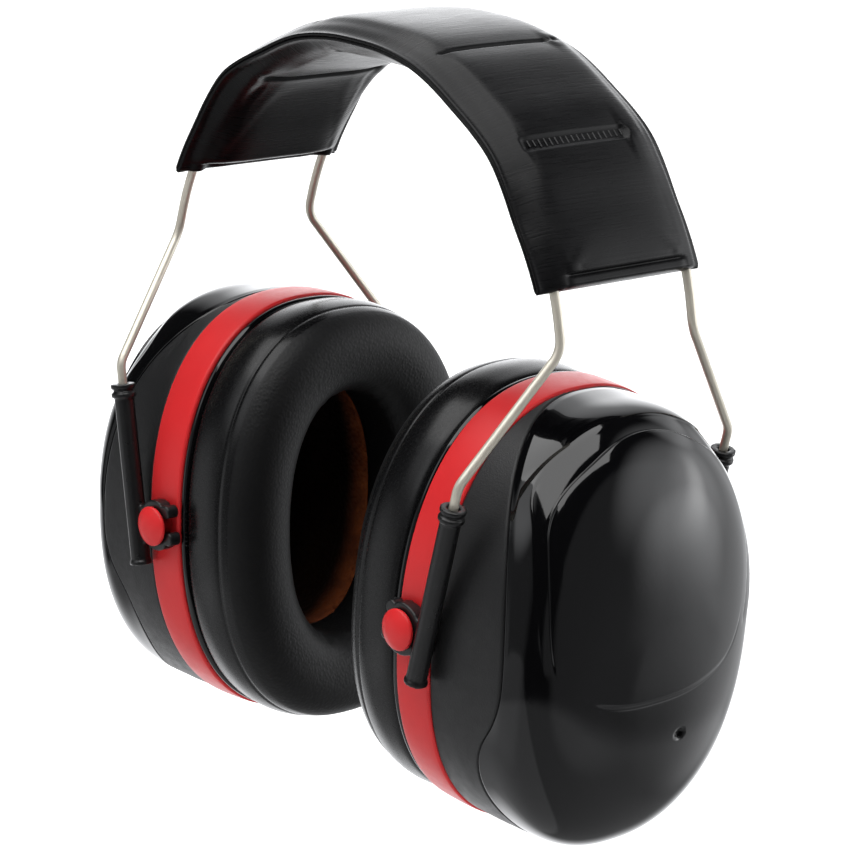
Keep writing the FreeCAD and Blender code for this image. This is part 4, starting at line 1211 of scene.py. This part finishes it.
def build_band_cover(name, nodes, full, flat, details, marks, sign):
    """One cover of the band: a closed ply over the pad, in UV metres across and along."""
    across = np.linspace(-BAND_HALF_WIDTH, BAND_HALF_WIDTH, BAND_COLUMNS)
    weld = math.degrees(WELD_SPACE / ARCH_RADIUS)
    angle = band_angles(marks + (BAND_START, BAND_START + weld, BAND_END - weld, BAND_END))
    grid_angle, grid_across = np.meshgrid(angle, across, indexing="ij")
    rise = padded_rise(grid_angle, grid_across, full, flat)
    rise += details(grid_angle, grid_across) + corner_shift(grid_angle, grid_across, sign)
    beyond = np.maximum(grid_across - REAR_RIM_START, 0)
    placed = grid_across - beyond * (1 - REAR_RIM)
    outer = band_points(grid_angle, placed, rise)
    inner = band_points(grid_angle, placed, rise - sign * PLY)
    moved = spread_swell(band_swell(full, flat, marks), grid_angle, grid_across)
    outer, inner = outer + moved, inner + moved
    rows, columns = len(angle), len(across)
    size = rows * columns
    faces = quads(rows, columns, around=False) + quads(rows, columns, around=False, first=size)
    edges = [(r * columns + c, (r + 1) * columns + c) for r in range(rows - 1) for c in (0, columns - 1)]
    edges += [(r * columns + c, r * columns + c + 1) for c in range(columns - 1) for r in (0, rows - 1)]
    faces += [[a, b, b + size, a + size] for a, b in edges]
    uv = np.stack([grid_across.ravel(), np.radians(grid_angle.ravel()) * ARCH_RADIUS], 1) * MM
    piece = make_piece(name, np.concatenate([outer.reshape(-1, 3), inner.reshape(-1, 3)]), faces,
                       np.concatenate([uv, uv]))
    finish_piece(piece, "headband", LEATHERETTE, nodes)


TOP_MARKS = (-RIB_CREASE, -LINE_CREASE, LINE_CREASE, RIB_CREASE)
LINING_MARKS = tuple(sign * fold for sign in (-1, 1) for fold in LINING_CREASES)
build_band_cover("band_top", ("band_cover_top", "band_foam"), TOP_HALF, TOP_FLAT,
                 top_details, TOP_MARKS, 1)
build_band_cover("band_lining", ("band_cover_bottom",), LINING_HALF, LINING_FLAT,
                 lining_details, LINING_MARKS, -1)

SLOT_RIBS = 18
SLOT_RIB_PITCH = 1.6
SLOT_RIB_LENGTH = 1.7
SLOT_RIB_THICKNESS = 0.18
SLOT_RIB_START = -15.6
SLOT_RIB_SINK = 0.06
SLOT_RIB_SEED = 7


def build_slot_ribs():
    """Pressed ribs across the floor of the two slots in the top cover."""
    places = []
    for mark in (-RIB_CREASE, RIB_CREASE):
        turn = math.radians(mark)
        forward = (math.cos(turn), 0, -math.sin(turn))
        outward = (math.sin(turn), 0, math.cos(turn))
        middle = (np.array([mark]), np.array([0.0]))
        floor = padded_rise(*middle, TOP_HALF, TOP_FLAT) + top_details(*middle) + corner_shift(*middle, 1)
        radius = ARCH_RADIUS + float(floor[0]) - SLOT_RIB_SINK
        start = [radius * outward[0] - forward[0] * SLOT_RIB_LENGTH / 2, SLOT_RIB_START,
                 ARCH_HEIGHT + radius * outward[2] - forward[2] * SLOT_RIB_LENGTH / 2]
        places.append(place_matrix(start, forward, (0, 1, 0), np.cross(forward, (0, 1, 0))))
    ribs = rib_row("band_slot_ribs", SLOT_RIBS, SLOT_RIB_PITCH, SLOT_RIB_LENGTH,
                   SLOT_RIB_THICKNESS, SLOT_RIB_SEED, ARM_BLACK, places)
    finish_piece(ribs, "headband", ARM_BLACK)


build_slot_ribs()

# ---------------------------------------------------------------- solids that stay
KEPT = {
    "front_wire": STEEL, "rear_wire": STEEL,
    "left_inner_cup": MATT_BLACK, "right_inner_cup": MATT_BLACK,
    "left_casing_foam": GREY_FOAM, "right_casing_foam": GREY_FOAM,
}
for node, material in KEPT.items():
    slots = frame["nodes"][node].material_slots
    if slots:
        slots[0].material = material
    else:
        frame["nodes"][node].data.materials.append(material)


# ---------------------------------------------------------------- studio
FLOOR_HALF = 6.0
FLOOR_ROOM = 0.06
# distance where the floor's own light starts and is full, its least and most
FLOOR_LIT = (0.6, 2.2, 0.05, 1.0)
EDGE_FADE = 0.45
OVERHEAD_SIZE = (1.6, 1.24)


def build_floor():
    """Plain pale floor, low enough for the cups' full slide and tilt, with its own light far off."""
    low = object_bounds()[0].z - FLOOR_ROOM
    mesh = bpy.data.meshes.new("floor")
    mesh.from_pydata([(x * FLOOR_HALF, y * FLOOR_HALF, low) for x, y in ((-1, -1), (1, -1), (1, 1), (-1, 1))],
                     [], [(0, 1, 2, 3)])
    floor = set_out("floor", mesh)
    material = bpy.data.materials.new("floor_white")
    material.use_nodes = True
    put, add = calls_for(material.node_tree)
    place = add("TexCoord"), "Object"
    cloud = add("TexNoise", Vector=place, Scale=3.0, Detail=2.0), "Fac"
    away = add("VectorMath", place, operation="LENGTH"), "Value"
    put(material.node_tree.nodes["Principled BSDF"], **{
        "Base Color": (0.7, 0.7, 0.7, 1), "Specular IOR Level": 0.1,
        "Roughness": ramp(add, cloud, 0.3, 0.7, 0.7, 0.8),
        "Emission Color": (1, 1, 1, 1), "Emission Strength": ramp(add, away, *FLOOR_LIT)})
    mesh.materials.append(material)
    floor.visible_glossy = False


def softbox(name, place, aim, width, height, radiance, soft=False, roll=0.0):
    """Rectangular light of an even brightness, or one that fades towards its edges."""
    data = bpy.data.lights.new(name, "AREA")
    data.shape = "RECTANGLE"
    data.size, data.size_y = width, height
    data.energy = radiance * math.pi * width * height
    if soft:
        data.use_nodes = True
        put, add = calls_for(data.node_tree)
        parts = add("SeparateXYZ", (add("NewGeometry"), "Parametric"))
        fades = [(add("Math", (parts, way), 0.5, operation="PINGPONG"), "Value") for way in "XY"]
        eased = [ramp(add, fade, 0.0, EDGE_FADE, 0.0, 1.0, "SMOOTHSTEP") for fade in fades]
        both = add("Math", *eased, operation="MULTIPLY"), "Value"
        put(data.node_tree.nodes["Emission"], Strength=both)
    lamp = set_out(name, data)
    lamp.location = place
    lamp.rotation_mode = "QUATERNION"
    facing = (Vector(aim) - Vector(place)).to_track_quat("-Z", "Y")
    lamp.rotation_quaternion = facing @ Quaternion((0, 0, 1), math.radians(roll))
    lamp.visible_camera = False
    return lamp


CAMERA_AZIMUTH = 47.31
CAMERA_ELEVATION = 15.86
CAMERA_ROLL = 2.96
CAMERA_DISTANCE = 0.7818
CAMERA_RIGHT = 0.00313
CAMERA_UP = 0.02724
CAMERA_LENS = 144.19


def build_camera():
    """Camera at the angle of the main view, turned and shifted a little."""
    a, e, roll = (math.radians(angle) for angle in (CAMERA_AZIMUTH, CAMERA_ELEVATION, CAMERA_ROLL))
    back = Vector((math.sin(a) * math.cos(e), -math.cos(a) * math.cos(e), math.sin(e)))
    level = Vector((math.cos(a), math.sin(a), 0))
    upright = back.cross(level)
    right = level * math.cos(roll) + upright * math.sin(roll)
    up = upright * math.cos(roll) - level * math.sin(roll)
    data = bpy.data.cameras.new("camera")
    data.lens = CAMERA_LENS
    data.sensor_width = 36.0
    data.clip_start, data.clip_end = 0.05, 50.0
    camera = set_out("camera", data)
    turn = Matrix((right, up, back)).transposed().to_4x4()
    camera.matrix_world = Matrix.Translation(
        back * CAMERA_DISTANCE + right * CAMERA_RIGHT + up * CAMERA_UP) @ turn
    bpy.context.scene.camera = camera


build_floor()
build_camera()
# The overhead light is two lamps, one for the surfaces' colour and a dimmer one for their shine.
overhead = softbox("overhead", (0.05, -0.22, 1.0), (0.05, -0.22, 0.0), *OVERHEAD_SIZE, 6.5)
overhead.visible_glossy = False
shine = softbox("overhead_shine", (0.05, -0.22, 0.98), (0.05, -0.22, 0.0), *OVERHEAD_SIZE, 3.4)
shine.visible_diffuse = False
softbox("side_strip", (0.74, 1.06, 0.14), (0.07, 0.0, 0.02), 0.3, 1.0, 2.0, soft=True, roll=-30.0)
behind = softbox("behind", (-0.9, 1.0, 1.3), (-0.9, 1.0, 0.0), 1.6, 1.6, 3.0)
behind.visible_glossy = False

# Soft glows all round: azimuth from the wearer's left, elevation, full within, gone beyond, radiance.
GLOWS = (
    (51.4, 14.7, 0.3, 30.2, 1.53), (83.2, 30.9, 0.7, 14.7, 1.55), (75.8, -3.8, 19.9, 37.0, 1.40),
    (51.0, -6.0, 0.0, 14.8, 1.08), (24.0, 0.0, 31.0, 39.0, 0.21), (132.0, 6.0, 4.0, 30.0, 1.8),
    (134.0, 32.0, 8.0, 32.0, 1.2), (143.0, -26.0, 20.0, 47.0, 1.6), (-106.0, 36.0, 4.0, 26.0, 1.6),
    (0.0, -90.0, 61.5, 64.5, 0.36), (-90.0, -60.0, 42.0, 46.0, 0.3), (-137.0, -14.0, 8.0, 28.0, 0.7),
    (-98.0, -8.0, 30.0, 48.0, 0.2),
)
GLOW_BASE = 0.02


def build_world():
    """Dim even surroundings with a few wide soft glows."""
    world = bpy.data.worlds.new("studio")
    world.use_nodes = True
    put, add = calls_for(world.node_tree)
    way = add("TexCoord"), "Generated"
    total = GLOW_BASE
    for azimuth, elevation, inner, outer, radiance in GLOWS:
        a, e, full, gone = (math.radians(angle) for angle in (azimuth, elevation, inner, outer))
        middle = (math.cos(a) * math.cos(e), math.sin(a) * math.cos(e), math.sin(e))
        facing = add("VectorMath", way, middle, operation="DOT_PRODUCT"), "Value"
        glow = ramp(add, facing, math.cos(gone), math.cos(full), 0.0, radiance, "SMOOTHSTEP")
        total = add("Math", glow, total), "Value"
    put(world.node_tree.nodes["Background"], Color=(0.97, 0.98, 1.0, 1), Strength=total)
    bpy.context.scene.world = world


build_world()
bpy.context.scene.view_settings.view_transform = "Standard"
